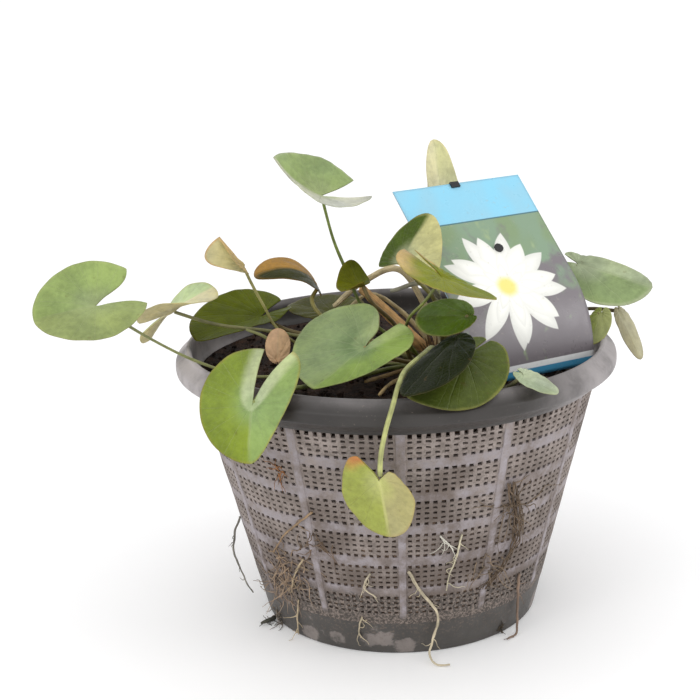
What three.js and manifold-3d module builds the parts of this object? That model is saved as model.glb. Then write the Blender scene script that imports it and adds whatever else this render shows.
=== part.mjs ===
// A water lily plant in its round mesh basket: basket, soil, crown, leaves on
// their petioles, old stems, roots through the mesh, and a plant label on a stake.
// Millimetres, +Z up. The basket's axis is the Z axis and its base lies at z = 0.
import * as THREE from 'three';
import * as BufferGeometryUtils from 'three/addons/utils/BufferGeometryUtils.js';
import Module from 'manifold-3d';

const wasm = await Module();
wasm.setup();

// ---------------------------------------------------------------- basket
const BASE_R = 69.2; // outer radius of the flat base
const WALL_TOP_R = 100.6; // outer radius where the sloping wall meets the lip
const WALL_TOP_Z = 124.6;
const WALL = 2.0; // wall thickness
const SHOULDER_R = 103; // outer edge of the step under the lip
const SHOULDER_Z = 124;
const FLOOR = 2.6; // floor thickness
const FLOOR_R = 67.8; // inner radius at the floor
const LIP_R = 110; // widest radius of the lip
const LIP_Z = 134; // top of the lip's outer edge
const LIP_SKIRT = 5; // height of the lip's straight outer face
const RIDGE_R = 102.8; // inner edge of the crest round the mouth
const RIDGE_WIDTH = 1.5;
const MOUTH_R = 101.5; // inner radius below the crest
const MOUTH_LOW_Z = 127.5; // foot of the mouth's upright inner face
const MOUTH_SLOPE = 1.6; // height of the slope from the crest to that face
const HEIGHT = 140;
const AROUND = 36; // flat sides round every turned shape, three to a mesh panel

const RIBS = 12; // upright ribs between the mesh panels
const RIB_TURN = -91; // degrees, the rib that faces the viewer
const RIB_WIDTH = 4.3;
const RIB_RISE = 0.6; // how far a rib stands out of the wall
const RIB_LOW_Z = 20;
const ROW_GROUPS = 6; // bands of slots up the wall
const ROW_TOP_Z = 115; // middle of the top band
const ROW_PITCH = 17.6;
const SLOT_WIDTH = 16;
const SLOT_HEIGHT = 12;
const FLOOR_SLOTS = 8;
const FLOOR_SLOT = { inner: 30, outer: 56, width: 6 };

// ------------------------------------------------------------------ soil
const GAP = 0.4; // clearance between pieces that touch
const SOIL_Z = 126; // level of the soil inside the basket
const SOIL_R = 99.3; // its edge, on the slope below the mouth's upright face
const HOLE_DEPTH = 10;
const HOLE_R = 2.4; // plain hole round a petiole
const HOLE_SIDES = 6;
const CROWN = { x: 20, y: -8 }; // where all petioles come up
const CROWN_R = 4.6;
const CROWN_TOP = 137;
const CROWN_SIDES = 10;
const RINGS = [8.2, 12.6, 17.2]; // rings of holes round the crown

// ------------------------------------------------------------- petioles
const PETIOLE_R = 1.2;
const PETIOLE_SIDES = 5;
const PETIOLE_STEPS = 2; // steps between two listed points
const BLADE = 0.8; // blade thickness
const LARGE_BLADE = { from: 27, rings: 3, spokes: 14 }; // facets of a midrib this long or longer
const SMALL_BLADE = { rings: 2, spokes: 10 };
const WAVES = 3; // waves round a blade's margin

// Each leaf: apex is where the petiole meets the blade and tip is the far end of
// the midrib. Pairs are left half, right half, looking from apex to tip. width and
// lobe are shares of the midrib's length, sinus is the half notch, fold, curl, roll,
// twist and bend are degrees, and wave is the height of the margin's three waves.
// root is [ring, degrees round the crown], and stem lists the points that the
// petiole passes between the soil and the apex.
const LEAVES = {
  pad_far_left: {
    apex: [-137, -72, 179], tip: [-164, -80, 175], roll: -35,
    width: [0.8, 0.85], lobe: [0.85, 0.92], sinus: [17, 40], fold: [5, 10], wave: 0.9,
    root: [2, 211], stem: [[-20, -24, 132], [-70, -42, 134], [-93, -52, 144.5], [-115, -62, 160]],
    colour: 0x93a863,
  },
  pad_folded_left: {
    apex: [-109, -20, 162], tip: [-89, -8, 171], roll: -26, twist: 40,
    width: [0.85, 0.85], lobe: [0.9, 0.9], sinus: [15, 15],
    root: [1, 168], stem: [[-20, -3, 136], [-60, -9, 147], [-88, -14, 153]],
    colour: 0xa09a76,
  },
  pad_high: {
    apex: [-34, -20, 217], tip: [-56, -24, 236], bend: -40,
    width: [0.75, 0.85], lobe: [0.85, 0.75], sinus: [12, 32], fold: [-3, 40], wave: 0.8,
    root: [0, 150], stem: [[-12, -3, 150], [-25, -6, 180.5], [-29, -10, 192.5], [-32, -15, 206]],
    colour: 0x96a57d,
  },
  pad_over_rim: {
    apex: [-67, -97, 137], tip: [-69, -104, 112], bend: 30,
    width: [0.42, 0.86], lobe: [1.4, 1.2], sinus: [14, 1], fan: [-0.5, 0],
    root: [2, 225], stem: [[-20, -40, 132], [-48, -69, 136], [-60, -86, 142.5]],
    colour: 0x8fae3c,
  },
  pad_front: {
    apex: [-16.2, -55.3, 150.5], tip: [-40.6, -74, 136.8], roll: -9, bend: -6, wave: -0.7,
    width: [0.45, 1.22], lobe: [0.7, 0.75], sinus: [6, 16], fan: [-1.1, -0.2],
    root: [1, 238], stem: [[2, -30, 136], [-10, -44, 143]],
    colour: 0x7d9c74,
  },
  leaf_hanging: {
    apex: [-11.4, -113.9, 106.7], tip: [-7.7, -104.7, 75.4], roll: -2,
    width: [0.71, 0.68], lobe: [0.55, 0.2], sinus: [37, 46],
    root: [0, 262],
    stem: [
      [17, -38, 144], [11, -62, 148], [2, -84, 147], [-2, -102, 145.5],
      [-5, -115, 140.5], [-8.4, -119.6, 131], [-10.8, -118.4, 119],
    ],
    colour: 0xa9b164,
  },
  leaf_small_tan: {
    apex: [-72.8, -23.7, 184.2], tip: [-83.9, -14.1, 196.8], roll: -77,
    width: [0.98, 0.53], lobe: [0.28, 0.29], sinus: [10, 10], fold: [41, 75], fan: [1.1, -0.73],
    root: [2, 180], stem: [[-30, -10, 131], [-57, -18, 150], [-64, -20.5, 163.5], [-69, -22, 174.5]],
    colour: 0xb99c5e,
  },
  leaf_brown_arch: {
    apex: [-38, 10, 164], tip: [-69, 0, 173], roll: -15, bend: 100,
    width: [0.6, 0.6], lobe: [0.1, 0.1], sinus: [10, 10],
    root: [1, 156], stem: [[-18, 4, 138], [-37, 2, 152], [-41, 6, 159]],
    colour: 0x8a6f33,
  },
  leaf_back_left: {
    apex: [-68, 28, 146], tip: [-99, -7, 143],
    width: [0.35, 0.6], lobe: [0.5, 0.55], sinus: [15, 15], fold: [0, 30], wave: 1,
    root: [2, 150], stem: [[-18, 12, 134], [-55, 24, 139]],
    colour: 0x55702a,
  },
  leaf_back_dark: {
    apex: [-31, 26, 147], tip: [-53, 52, 146], roll: -10,
    width: [0.45, 0.8], lobe: [0.5, 0.5], sinus: [15, 15],
    root: [1, 130], stem: [[-6, 12, 132], [-22, 22, 140]],
    colour: 0x5d5b24,
  },
  leaf_olive_small: {
    apex: [-15.6, -18.6, 171.7], tip: [-21.5, -7.4, 181.8], roll: -15, bend: -105,
    width: [0.94, 0.59], lobe: [0.32, 0.1], sinus: [3, 6],
    root: [1, 190], stem: [[0, -16, 150], [-12, -20, 164]],
    colour: 0x66591b,
  },
  leaf_upright: {
    apex: [2.7, -43.2, 187.5], tip: [17.9, -22.8, 206.3], roll: 53, bend: -41,
    width: [0.41, 0.5], lobe: [0.64, 1.4], sinus: [60, 52], fold: [-40, 48],
    root: [0, 330], stem: [[23, -26, 150], [18, -37, 168], [8, -43, 181]],
    colour: 0x5d7c2c,
  },
  leaf_yellow: {
    apex: [20.5, -67.5, 186.2], tip: [43.8, -79.5, 177.7], roll: 9, bend: -20,
    width: [0.18, 0.39], lobe: [1.78, 0.93], sinus: [17, 3], fan: [0.41, -0.99], fold: [-5, 5],
    root: [0, 205], stem: [[5, -26, 146], [5.5, -47, 161.5], [13, -65, 175]],
    colour: 0xa3a038,
  },
  leaf_glossy: {
    apex: [32.6, -64.6, 166.7], tip: [8.4, -53.6, 164], roll: -36,
    width: [0.78, 0.74], lobe: [0.16, 0.08], sinus: [10, 10],
    root: [1, 300], stem: [[22, -34, 145], [23, -56, 158]],
    colour: 0x48652c,
  },
  leaf_dark: {
    apex: [24.4, -81.6, 160.5], tip: [-0.4, -113.6, 144.5], roll: 3,
    width: [0.73, 0.33], lobe: [0.12, 0.08], sinus: [10, 10],
    root: [1, 270], stem: [[20, -40, 140], [21, -62, 152], [22, -73, 157]],
    colour: 0x3c4631,
  },
  leaf_large_rim: {
    apex: [29, -82, 152], tip: [2, -108, 142], roll: -20,
    width: [0.82, 0.35], lobe: [0.52, 0.5], sinus: [3, 3], curl: [-24, 0],
    root: [2, 285], stem: [[22, -42, 131], [27, -64, 141]],
    colour: 0x5a7440,
  },
  leaf_rim_right: {
    apex: [55, -87, 144], tip: [69, -96, 137.5], roll: 10,
    width: [0.6, 0.6], lobe: [0.3, 0.3], sinus: [15, 15],
    root: [2, 305], stem: [[27, -52, 130], [36, -70, 131.5], [48, -82, 137]],
    colour: 0x9fae8c,
  },
  leaf_back_tall: {
    apex: [28, 60, 198], tip: [25, 66, 229],
    width: [0.33, 0.5], lobe: [0.5, 0.5], sinus: [15, 15],
    root: [1, 80], stem: [[22, 12, 145], [26, 42, 172]],
    colour: 0xa5a86b,
  },
  leaf_right_large: {
    apex: [95, 20, 170], tip: [130, 5, 160], roll: 35,
    width: [0.3, 0.8], lobe: [0.3, 0.3], sinus: [15, 15], wave: 1,
    root: [2, 30], stem: [[50, 14, 136], [80, 22, 152]],
    colour: 0x7f9170,
  },
  leaf_right_olive: {
    apex: [103, -4, 150], tip: [95.5, -16, 137],
    width: [0.62, 0.52], lobe: [0.2, 0.2], sinus: [15, 15],
    root: [1, 10], stem: [[55, 2, 133], [88, 4, 142]],
    colour: 0x7d8b41,
  },
  leaf_right_drooping: {
    apex: [114, 10, 147], tip: [124, 0, 124],
    width: [0.5, 0.5], lobe: [0.1, 0.1], sinus: [15, 15],
    root: [2, 55], stem: [[60, 26, 135], [98, 20, 146]],
    colour: 0x87806a,
  },
  leaf_pink_small: {
    apex: [-58, -30, 138], tip: [-57, -25, 153],
    width: [0.72, 0.72], lobe: [0.1, 0.1], sinus: [15, 15],
    root: [2, 200], stem: [[-22, -20, 130], [-46, -30, 130.5]],
    colour: 0xb7997b,
  },
};

// Old stems and dead stalks: same rooting rule, with their own thickness.
const STALKS = {
  rolled_old_leaf: {
    r: 3.1, root: [0, 110], colour: 0xb98f5a,
    path: [[8, -6, 142], [-4, -4, 154], [-16, -2, 166]],
  },
  old_stem_bent: {
    r: 1.6, root: [0, 70], colour: 0xb59f74,
    path: [[14, 4, 158], [2, 4, 174], [-16, 5, 167], [-30, 3, 156]],
  },
  old_stem_low: {
    r: 1.1, root: [2, 90], colour: 0xa99468,
    path: [[4, 12, 150], [-12, 10, 160], [-26, 9, 150]],
  },
  grey_stem: {
    r: 1.3, root: [0, 30], colour: 0xa5a08c,
    path: [[26, -14, 152], [14, -26, 173], [-2, -22, 169]],
  },
  short_stem_left: {
    r: 1.0, root: [2, 240], colour: 0x9a7c50,
    path: [[-8, -46, 133], [-16, -66, 137]],
  },
  short_stem_right: {
    r: 1.0, root: [2, 256], colour: 0xa88d5c,
    path: [[0, -48, 132], [-6, -68, 135], [-10, -84, 136]],
  },
  young_stem: {
    r: 0.9, root: [2, 189], colour: 0x9fa06a,
    path: [[-30, -15, 131], [-54, -17, 133.5], [-63, -18, 146], [-73, -18, 151]],
  },
};

// Roots that have grown out through the mesh, and root ends on the floor.
const ROOT_SIDES = 5;
const ROOT_STEPS = 2;
const ROOTS = {
  root_left_free: {
    r: 0.6, colour: 0x8a8478,
    path: [
      [-80.5, -21.7, 54.6], [-83.2, -25, 48.5], [-84, -30, 39],
      [-80.7, -34, 31], [-78, -37, 25], [-75, -39, 21],
    ],
  },
  root_left_floor: {
    r: 1.3, colour: 0x5a5a50,
    path: [[-65.2, -26.7, 1.5], [-68.2, -30.6, 1.6], [-71.7, -33.6, 1.5]],
  },
  root_left_upper: {
    r: 0.6, colour: 0x7d6548,
    path: [[-42.7, -79.4, 78.6], [-50.6, -72.9, 70], [-56.6, -65, 62], [-63, -53.6, 48.2]],
  },
  root_left_middle: {
    r: 0.5, colour: 0xa98f63,
    path: [[-48.4, -66.9, 49.4], [-53.3, -59.3, 37.9], [-55.3, -53.5, 27]],
  },
  root_left_low: {
    r: 0.5, colour: 0xb79f72,
    path: [[-51.8, -55.3, 23.5], [-52.9, -50.8, 12.1], [-52.8, -46.8, 1]],
  },
  root_front_upper: {
    r: 0.5, colour: 0xb8a582,
    path: [[-16.6, -80.4, 47], [-19.4, -77.6, 39], [-13.9, -77.3, 33.3]],
  },
  root_front_low: {
    r: 0.5, colour: 0xa89470,
    path: [[-20.8, -72.3, 21.6], [-22.9, -69.3, 12.3], [-21.7, -68.9, 8.9]],
  },
  root_front_long: {
    r: 0.8, colour: 0xb9a982,
    path: [
      [1.5, -82.4, 48.3], [7.9, -78.9, 35.2], [14.1, -76.2, 25.6], [15, -75, 18.3],
      [12.5, -74.6, 9.7], [10.9, -76.4, 3.2], [13.2, -83.4, 1.1], [19.8, -85, 1.1],
    ],
  },
  root_white_short: {
    r: 0.5, colour: 0xe6e0cf,
    path: [[16.4, -85.4, 67.2], [22.6, -81.5, 58.2]],
  },
  root_white_long: {
    r: 0.5, colour: 0xc9bf9f,
    path: [[26.5, -83, 66.3], [24.5, -80.5, 56], [20.5, -78.9, 44.1], [19.1, -77.1, 35.6]],
  },
  root_right_dark: {
    r: 0.9, colour: 0x4f4030,
    path: [
      [49.8, -79.1, 89.4], [53.3, -70.8, 70.6], [53.8, -66.4, 57.6], [48.4, -66.7, 46.2], [37.6, -69.8, 32.9],
    ],
  },
  root_right_low: {
    r: 0.8, colour: 0x8b6f57,
    path: [[56.2, -55, 33.2], [55.6, -53.1, 21.6], [55.4, -50, 9], [55, -53.5, 1.6], [49.5, -59.4, 1.2]],
  },
};

// ------------------------------------------------------------ label card
const CARD = {
  foot: [64, -39, 128.8], // middle of the card's lower edge
  turn: 30, // degrees of its lower edge from +X
  width: 75,
  length: 110,
  lean: [-6, 47], // degrees back from upright at the foot and at the top
  bent: 0.43, // share of the length, from the foot, over which the lean grows
  thick: 0.8,
  rows: 12,
};
const STAKE = {
  width: 5,
  thick: 1.6,
  from: -0.12, // ends of the stake along the card, as shares of the card's length
  to: 1.006,
  slot: [-0.05, 0.99], // across and along the card, where the stake's tab holds its upper edge
  peg: [0.09, 0.62], // where its peg is pushed through the card
  pegR: 2.4,
  proud: 0.9, // how far tab and peg stand in front of the card
};

// ------------------------------------------------------------- helpers
const rad = THREE.MathUtils.degToRad;
const vec = (p) => new THREE.Vector3(...p);

function mergedShape(geometry) {
  const bare = geometry.clone();
  bare.deleteAttribute('normal');
  bare.deleteAttribute('uv');
  return BufferGeometryUtils.mergeVertices(bare, 1e-4);
}

function toSolid(geometry) {
  const merged = mergedShape(geometry);
  const index = Array.from(merged.index.array);
  const corners = [];
  for (let i = 0; i < index.length; i += 3) {
    const [a, b, c] = index.slice(i, i + 3);
    if (a !== b && b !== c && c !== a) corners.push(a, b, c);
  }
  return new wasm.Manifold(new wasm.Mesh({
    numProp: 3,
    vertProperties: new Float32Array(merged.attributes.position.array),
    triVerts: new Uint32Array(corners),
  }));
}

function toGeometry(solid) {
  const mesh = solid.getMesh();
  const geometry = new THREE.BufferGeometry();
  geometry.setAttribute('position', new THREE.BufferAttribute(mesh.vertProperties, 3));
  geometry.setIndex(new THREE.BufferAttribute(mesh.triVerts, 1));
  geometry.computeVertexNormals();
  return geometry;
}

function turned(profile) {
  const points = profile.map(([r, z]) => new THREE.Vector2(r, z));
  return new THREE.LatheGeometry(points, AROUND).rotateX(Math.PI / 2).rotateZ(rad(RIB_TURN));
}

function tube(points, radius, sides, steps) {
  const section = new THREE.Shape();
  for (let i = 0; i < sides; i += 1) {
    const angle = (2 * Math.PI * i) / sides;
    section[i ? 'lineTo' : 'moveTo'](radius * Math.cos(angle), radius * Math.sin(angle));
  }
  section.closePath();
  const path = new THREE.CatmullRomCurve3(points.map(vec), false, 'centripetal');
  return new THREE.ExtrudeGeometry(section, { steps, extrudePath: path, bevelEnabled: false });
}

function holePlace([ring, degrees]) {
  const angle = rad(degrees);
  return [CROWN.x + RINGS[ring] * Math.cos(angle), CROWN.y + RINGS[ring] * Math.sin(angle)];
}

function rootedTube(item, points, radius) {
  const [x, y] = holePlace(item.root);
  const low = SOIL_Z - HOLE_DEPTH + GAP;
  const path = [[x, y, low], [x, y, SOIL_Z - 4], [x, y, SOIL_Z + 3], ...points];
  return tube(path, radius, PETIOLE_SIDES, PETIOLE_STEPS * path.length);
}

// ------------------------------------------------------------- leaf form
// One half of the blade rises at `fold` and curls on by `curl` over its width.
function across(q, fold, curl) {
  if (Math.abs(curl) < 1e-9) return [q * Math.cos(fold), q * Math.sin(fold)];
  return [
    (Math.sin(fold + curl * q) - Math.sin(fold)) / curl,
    (Math.cos(fold) - Math.cos(fold + curl * q)) / curl,
  ];
}

// Point of the blade: s runs from apex to margin, t from -1 (right lobe) through
// 0 (midrib) to 1 (left lobe). Each half of the outline is part of an ellipse.
function bladePoint(leaf, s, t) {
  const half = t >= 0 ? 0 : 1;
  const pick = (name) => (leaf[name] ? leaf[name][half] : 0);
  const apex = vec(leaf.apex);
  const chord = vec(leaf.tip).sub(apex);
  const bend = rad(leaf.bend || 0);
  const length = chord.length() * (bend ? bend / 2 / Math.sin(bend / 2) : 1);
  const along = chord.clone().normalize();

  const theta = t * (Math.PI - rad(pick('sinus')));
  const back = pick('lobe') * length;
  const long = (length + back) / 2;
  const shift = (length - back) / 2;
  const wide = long * pick('width');
  const a = (Math.cos(theta) / long) ** 2 + (Math.sin(theta) / wide) ** 2;
  const b = (-2 * shift * Math.cos(theta)) / long ** 2;
  const c = (shift / long) ** 2 - 1;
  const reach = s * (-b + Math.sqrt(b * b - 4 * a * c)) / (2 * a);

  const x = reach * Math.cos(theta);
  const q = Math.abs(reach * Math.sin(theta)) * (1 + pick('fan') * (x / length - 0.5));
  const [out, rise] = across(q, rad(pick('fold')), rad(pick('curl')) / wide);
  const wave = (leaf.wave || 0) * s ** 3 * Math.sin(WAVES * theta);
  const twist = rad(leaf.twist || 0) * (x / length);
  const side = half ? -out : out;
  const y = side * Math.cos(twist) - (rise + wave) * Math.sin(twist);
  const z = side * Math.sin(twist) + (rise + wave) * Math.cos(twist);

  const k = -bend / length;
  const forward = k ? (1 / k - z) * Math.sin(k * x) : x;
  const up = k ? 1 / k - (1 / k - z) * Math.cos(k * x) : z;

  const left = new THREE.Vector3(0, 0, 1).cross(along).normalize();
  const normal = along.clone().cross(left);
  const roll = rad(leaf.roll || 0);
  const rolledLeft = left.clone().multiplyScalar(Math.cos(roll)).addScaledVector(normal, Math.sin(roll));
  const rolledUp = normal.clone().multiplyScalar(Math.cos(roll)).addScaledVector(left, -Math.sin(roll));
  const [cosBend, sinBend] = [Math.cos(bend / 2), Math.sin(bend / 2)];
  const lead = along.clone().multiplyScalar(cosBend).addScaledVector(rolledUp, sinBend);
  const over = rolledUp.clone().multiplyScalar(cosBend).addScaledVector(along, -sinBend);
  return apex.addScaledVector(lead, forward).addScaledVector(rolledLeft, y).addScaledVector(over, up);
}

function bladeNormal(leaf, s, t) {
  const e = 1e-3;
  const inner = Math.max(s, 0.02);
  const ds = bladePoint(leaf, inner + e, t).sub(bladePoint(leaf, inner - e, t));
  const tLow = Math.max(t - e, -1);
  const tHigh = Math.min(t + e, 1);
  const dt = bladePoint(leaf, inner, tHigh).sub(bladePoint(leaf, inner, tLow));
  return ds.cross(dt).normalize();
}

// Closed blade: the same grid above and below, joined round the margin and down
// both edges of the notch.
function blade(leaf) {
  const large = vec(leaf.apex).distanceTo(vec(leaf.tip)) >= LARGE_BLADE.from;
  const { rings, spokes } = large ? LARGE_BLADE : SMALL_BLADE;
  const positions = [];
  const columns = spokes + 1;
  for (const face of [0.5, -0.5]) {
    const apexNormal = bladeNormal(leaf, 0, 0.3).add(bladeNormal(leaf, 0, -0.3)).normalize();
    positions.push(...vec(leaf.apex).addScaledVector(apexNormal, face * BLADE).toArray());
    for (let ring = 1; ring <= rings; ring += 1) {
      for (let spoke = 0; spoke < columns; spoke += 1) {
        const s = ring / rings;
        const t = (2 * spoke) / spokes - 1;
        const normal = bladeNormal(leaf, s, t);
        positions.push(...bladePoint(leaf, s, t).addScaledVector(normal, face * BLADE).toArray());
      }
    }
  }
  const perFace = 1 + rings * columns;
  const at = (ring, spoke) => (ring ? 1 + (ring - 1) * columns + spoke : 0);
  const triangles = [];
  const quad = (p, q, r, s) => triangles.push(p, q, r, p, r, s);
  for (let spoke = 0; spoke < spokes; spoke += 1) {
    triangles.push(0, at(1, spoke), at(1, spoke + 1));
    triangles.push(perFace, perFace + at(1, spoke + 1), perFace + at(1, spoke));
    for (let ring = 1; ring < rings; ring += 1) {
      const [p, q] = [at(ring, spoke), at(ring + 1, spoke)];
      const [s, r] = [at(ring, spoke + 1), at(ring + 1, spoke + 1)];
      quad(p, q, r, s);
      triangles.push(perFace + p, perFace + r, perFace + q, perFace + p, perFace + s, perFace + r);
    }
    const [m, n] = [at(rings, spoke), at(rings, spoke + 1)];
    quad(m, perFace + m, perFace + n, n);
  }
  for (let ring = 0; ring < rings; ring += 1) {
    const [p, q] = [at(ring, 0), at(ring + 1, 0)];
    quad(p, perFace + p, perFace + q, q);
    const [r, s] = [at(ring, spokes), at(ring + 1, spokes)];
    quad(r, s, perFace + s, perFace + r);
  }
  const geometry = new THREE.BufferGeometry();
  geometry.setAttribute('position', new THREE.Float32BufferAttribute(positions, 3));
  geometry.setIndex(triangles);
  return geometry;
}

function leafSolid(leaf) {
  const petiole = rootedTube(leaf, [...leaf.stem, leaf.apex], PETIOLE_R);
  return toSolid(blade(leaf)).add(toSolid(petiole));
}

// ------------------------------------------------------------ the pieces
function basket() {
  const wallIn = WALL_TOP_R - WALL;
  const profile = [
    [0, 0], [BASE_R, 0], [WALL_TOP_R, SHOULDER_Z - GAP], [SHOULDER_R, SHOULDER_Z],
    [LIP_R, LIP_Z - LIP_SKIRT], [LIP_R, LIP_Z], [RIDGE_R + RIDGE_WIDTH, HEIGHT], [RIDGE_R, HEIGHT],
    [MOUTH_R, HEIGHT - MOUTH_SLOPE], [MOUTH_R, MOUTH_LOW_Z], [wallIn, WALL_TOP_Z],
    [FLOOR_R, FLOOR], [0, FLOOR],
  ];
  let solid = toSolid(turned(profile));
  const slope = Math.atan2(WALL_TOP_R - BASE_R, WALL_TOP_Z);
  const wallR = (z) => BASE_R + (z * (WALL_TOP_R - BASE_R)) / WALL_TOP_Z;

  const ribHeight = (WALL_TOP_Z - RIB_LOW_Z) / Math.cos(slope);
  const ribMid = (WALL_TOP_Z + RIB_LOW_Z) / 2;
  const cutters = [];
  for (let i = 0; i < RIBS; i += 1) {
    const turn = rad(RIB_TURN + (360 * i) / RIBS);
    const rib = new THREE.BoxGeometry(2 * RIB_RISE, RIB_WIDTH, ribHeight)
      .rotateY(slope).translate(wallR(ribMid) - RIB_RISE / 3, 0, ribMid).rotateZ(turn);
    solid = solid.add(toSolid(rib));
    for (let row = 0; row < ROW_GROUPS; row += 1) {
      const z = ROW_TOP_Z - row * ROW_PITCH;
      const slot = new THREE.BoxGeometry(6 * WALL, SLOT_WIDTH * (wallR(z) / WALL_TOP_R), SLOT_HEIGHT)
        .translate(wallR(z) - WALL / 2, 0, z).rotateZ(turn + rad(180 / RIBS));
      cutters.push(toSolid(slot));
    }
  }
  for (let i = 0; i < FLOOR_SLOTS; i += 1) {
    const reach = FLOOR_SLOT.outer - FLOOR_SLOT.inner;
    const slot = new THREE.BoxGeometry(reach, FLOOR_SLOT.width, 4 * FLOOR)
      .translate(FLOOR_SLOT.inner + reach / 2, 0, 0).rotateZ((2 * Math.PI * i) / FLOOR_SLOTS);
    cutters.push(toSolid(slot));
  }
  for (const cutter of cutters) solid = solid.subtract(cutter);
  return toGeometry(solid);
}

function soil() {
  const wallIn = WALL_TOP_R - WALL - GAP;
  const profile = [
    [0, FLOOR + GAP], [FLOOR_R - GAP, FLOOR + GAP], [wallIn, WALL_TOP_Z], [SOIL_R, SOIL_Z], [0, SOIL_Z],
  ];
  let solid = toSolid(turned(profile));
  const hole = (x, y, radius, sides = HOLE_SIDES) => {
    const drill = new THREE.CylinderGeometry(radius, radius, 2 * HOLE_DEPTH, sides)
      .rotateX(Math.PI / 2).translate(x, y, SOIL_Z);
    solid = solid.subtract(toSolid(drill));
  };
  for (const leaf of Object.values(LEAVES)) hole(...holePlace(leaf.root), HOLE_R);
  for (const stalk of Object.values(STALKS)) hole(...holePlace(stalk.root), stalk.r + HOLE_R - PETIOLE_R);
  hole(CROWN.x, CROWN.y, CROWN_R + 0.8, CROWN_SIDES);
  const foot = cardPoint(stakeMiddle(STAKE.from / 2), STAKE.from / 2);
  const behind = CARD.thick + GAP + STAKE.thick / 2;
  foot.addScaledVector(cardFront(STAKE.from), -behind);
  const pit = new THREE.BoxGeometry(STAKE.width + 4, STAKE.thick + 3.4, 2 * (HOLE_DEPTH + 1))
    .rotateZ(rad(CARD.turn)).translate(foot.x, foot.y, SOIL_Z);
  solid = solid.subtract(toSolid(pit));
  return toGeometry(solid);
}

function crown() {
  const low = SOIL_Z - HOLE_DEPTH + GAP;
  const profile = [
    [0, low], [CROWN_R - 0.6, low], [CROWN_R, SOIL_Z], [CROWN_R - 0.4, SOIL_Z + 5],
    [CROWN_R - 2.2, CROWN_TOP - 1], [0, CROWN_TOP],
  ];
  const points = profile.map(([r, z]) => new THREE.Vector2(r, z));
  const shape = new THREE.LatheGeometry(points, CROWN_SIDES).rotateX(Math.PI / 2);
  return toGeometry(toSolid(shape.translate(CROWN.x, CROWN.y, 0)));
}

// The card bends back evenly over its lower part and is straight above it. The line
// of the stake goes on straight below the card's foot.
const bendRate = rad(CARD.lean[1] - CARD.lean[0]) / (CARD.bent * CARD.length);
const bentRun = (v) => THREE.MathUtils.clamp(v, 0, CARD.bent) * CARD.length;
const cardLean = (v) => rad(CARD.lean[0]) + bendRate * bentRun(v);
const stakeMiddle = (v) => {
  const [[slotU, slotV], [pegU, pegV]] = [STAKE.slot, STAKE.peg];
  return pegU + ((slotU - pegU) * (v - pegV)) / (slotV - pegV);
};

// Point of the card's front face: u from -1 to 1 across it, v from 0 at the foot to 1.
function cardPoint(u, v) {
  const turn = rad(CARD.turn);
  const lean = cardLean(v);
  const straight = v * CARD.length - bentRun(v);
  const back = (Math.cos(rad(CARD.lean[0])) - Math.cos(lean)) / bendRate + straight * Math.sin(lean);
  const up = (Math.sin(lean) - Math.sin(rad(CARD.lean[0]))) / bendRate + straight * Math.cos(lean);
  const side = u * (CARD.width / 2);
  return new THREE.Vector3(
    CARD.foot[0] + side * Math.cos(turn) - back * Math.sin(turn),
    CARD.foot[1] + side * Math.sin(turn) + back * Math.cos(turn),
    CARD.foot[2] + up,
  );
}

// Direction straight out of the card's front face.
function cardFront(v) {
  const turn = rad(CARD.turn);
  const lean = cardLean(v);
  return new THREE.Vector3(
    Math.sin(turn) * Math.cos(lean), -Math.cos(turn) * Math.cos(lean), Math.sin(lean),
  );
}

// A strip that follows the card, `near` and `far` in front of its face (negative behind),
// round a middle line given as a function of v.
function cardStrip(halfWidth, middle, from, to, near, far) {
  const positions = [];
  const rows = CARD.rows;
  for (let row = 0; row <= rows; row += 1) {
    const v = from + ((to - from) * row) / rows;
    for (const [side, depth] of [[-1, near], [1, near], [1, far], [-1, far]]) {
      const u = middle(v) + (side * halfWidth * 2) / CARD.width;
      positions.push(...cardPoint(u, v).addScaledVector(cardFront(v), depth).toArray());
    }
  }
  const triangles = [0, 2, 1, 0, 3, 2];
  for (let row = 0; row < rows; row += 1) {
    for (let i = 0; i < 4; i += 1) {
      const [p, q] = [4 * row + i, 4 * row + ((i + 1) % 4)];
      triangles.push(p, q, q + 4, p, q + 4, p + 4);
    }
  }
  const e = 4 * rows;
  triangles.push(e, e + 1, e + 2, e, e + 2, e + 3);
  const geometry = new THREE.BufferGeometry();
  geometry.setAttribute('position', new THREE.Float32BufferAttribute(positions, 3));
  geometry.setIndex(triangles);
  return geometry;
}

// A short cylinder or block standing square to the card, from one depth to another.
function standing(shape, [u, v], near, far) {
  const place = cardPoint(u, v);
  return toSolid(shape(near - far).translate(0, -(near + far) / 2, 0)
    .rotateX(-cardLean(v)).rotateZ(rad(CARD.turn)).translate(place.x, place.y, place.z));
}
const pegShape = (radius) => (depth) => new THREE.CylinderGeometry(radius, radius, depth, 10);
const tabShape = (wide, high) => (depth) => new THREE.BoxGeometry(wide, depth, high);

function labelCard() {
  return toGeometry(toSolid(cardStrip(CARD.width / 2, () => 0, 0, 1, 0, -CARD.thick))
    .subtract(standing(pegShape(STAKE.pegR + GAP), STAKE.peg, 4, -4))
    .subtract(standing(tabShape(STAKE.width + 2 * GAP, 4), STAKE.slot, 4, -4)));
}

function labelStake() {
  const near = -CARD.thick - GAP;
  const far = near - STAKE.thick;
  const sunk = (near + far) / 2;
  return toGeometry(toSolid(cardStrip(STAKE.width / 2, stakeMiddle, STAKE.from, STAKE.to, near, far))
    .add(standing(pegShape(STAKE.pegR), STAKE.peg, STAKE.proud, sunk))
    .add(standing(tabShape(STAKE.width, 3.2), STAKE.slot, STAKE.proud, sunk)));
}

// ---------------------------------------------------------------- scene
const group = new THREE.Group();

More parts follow.
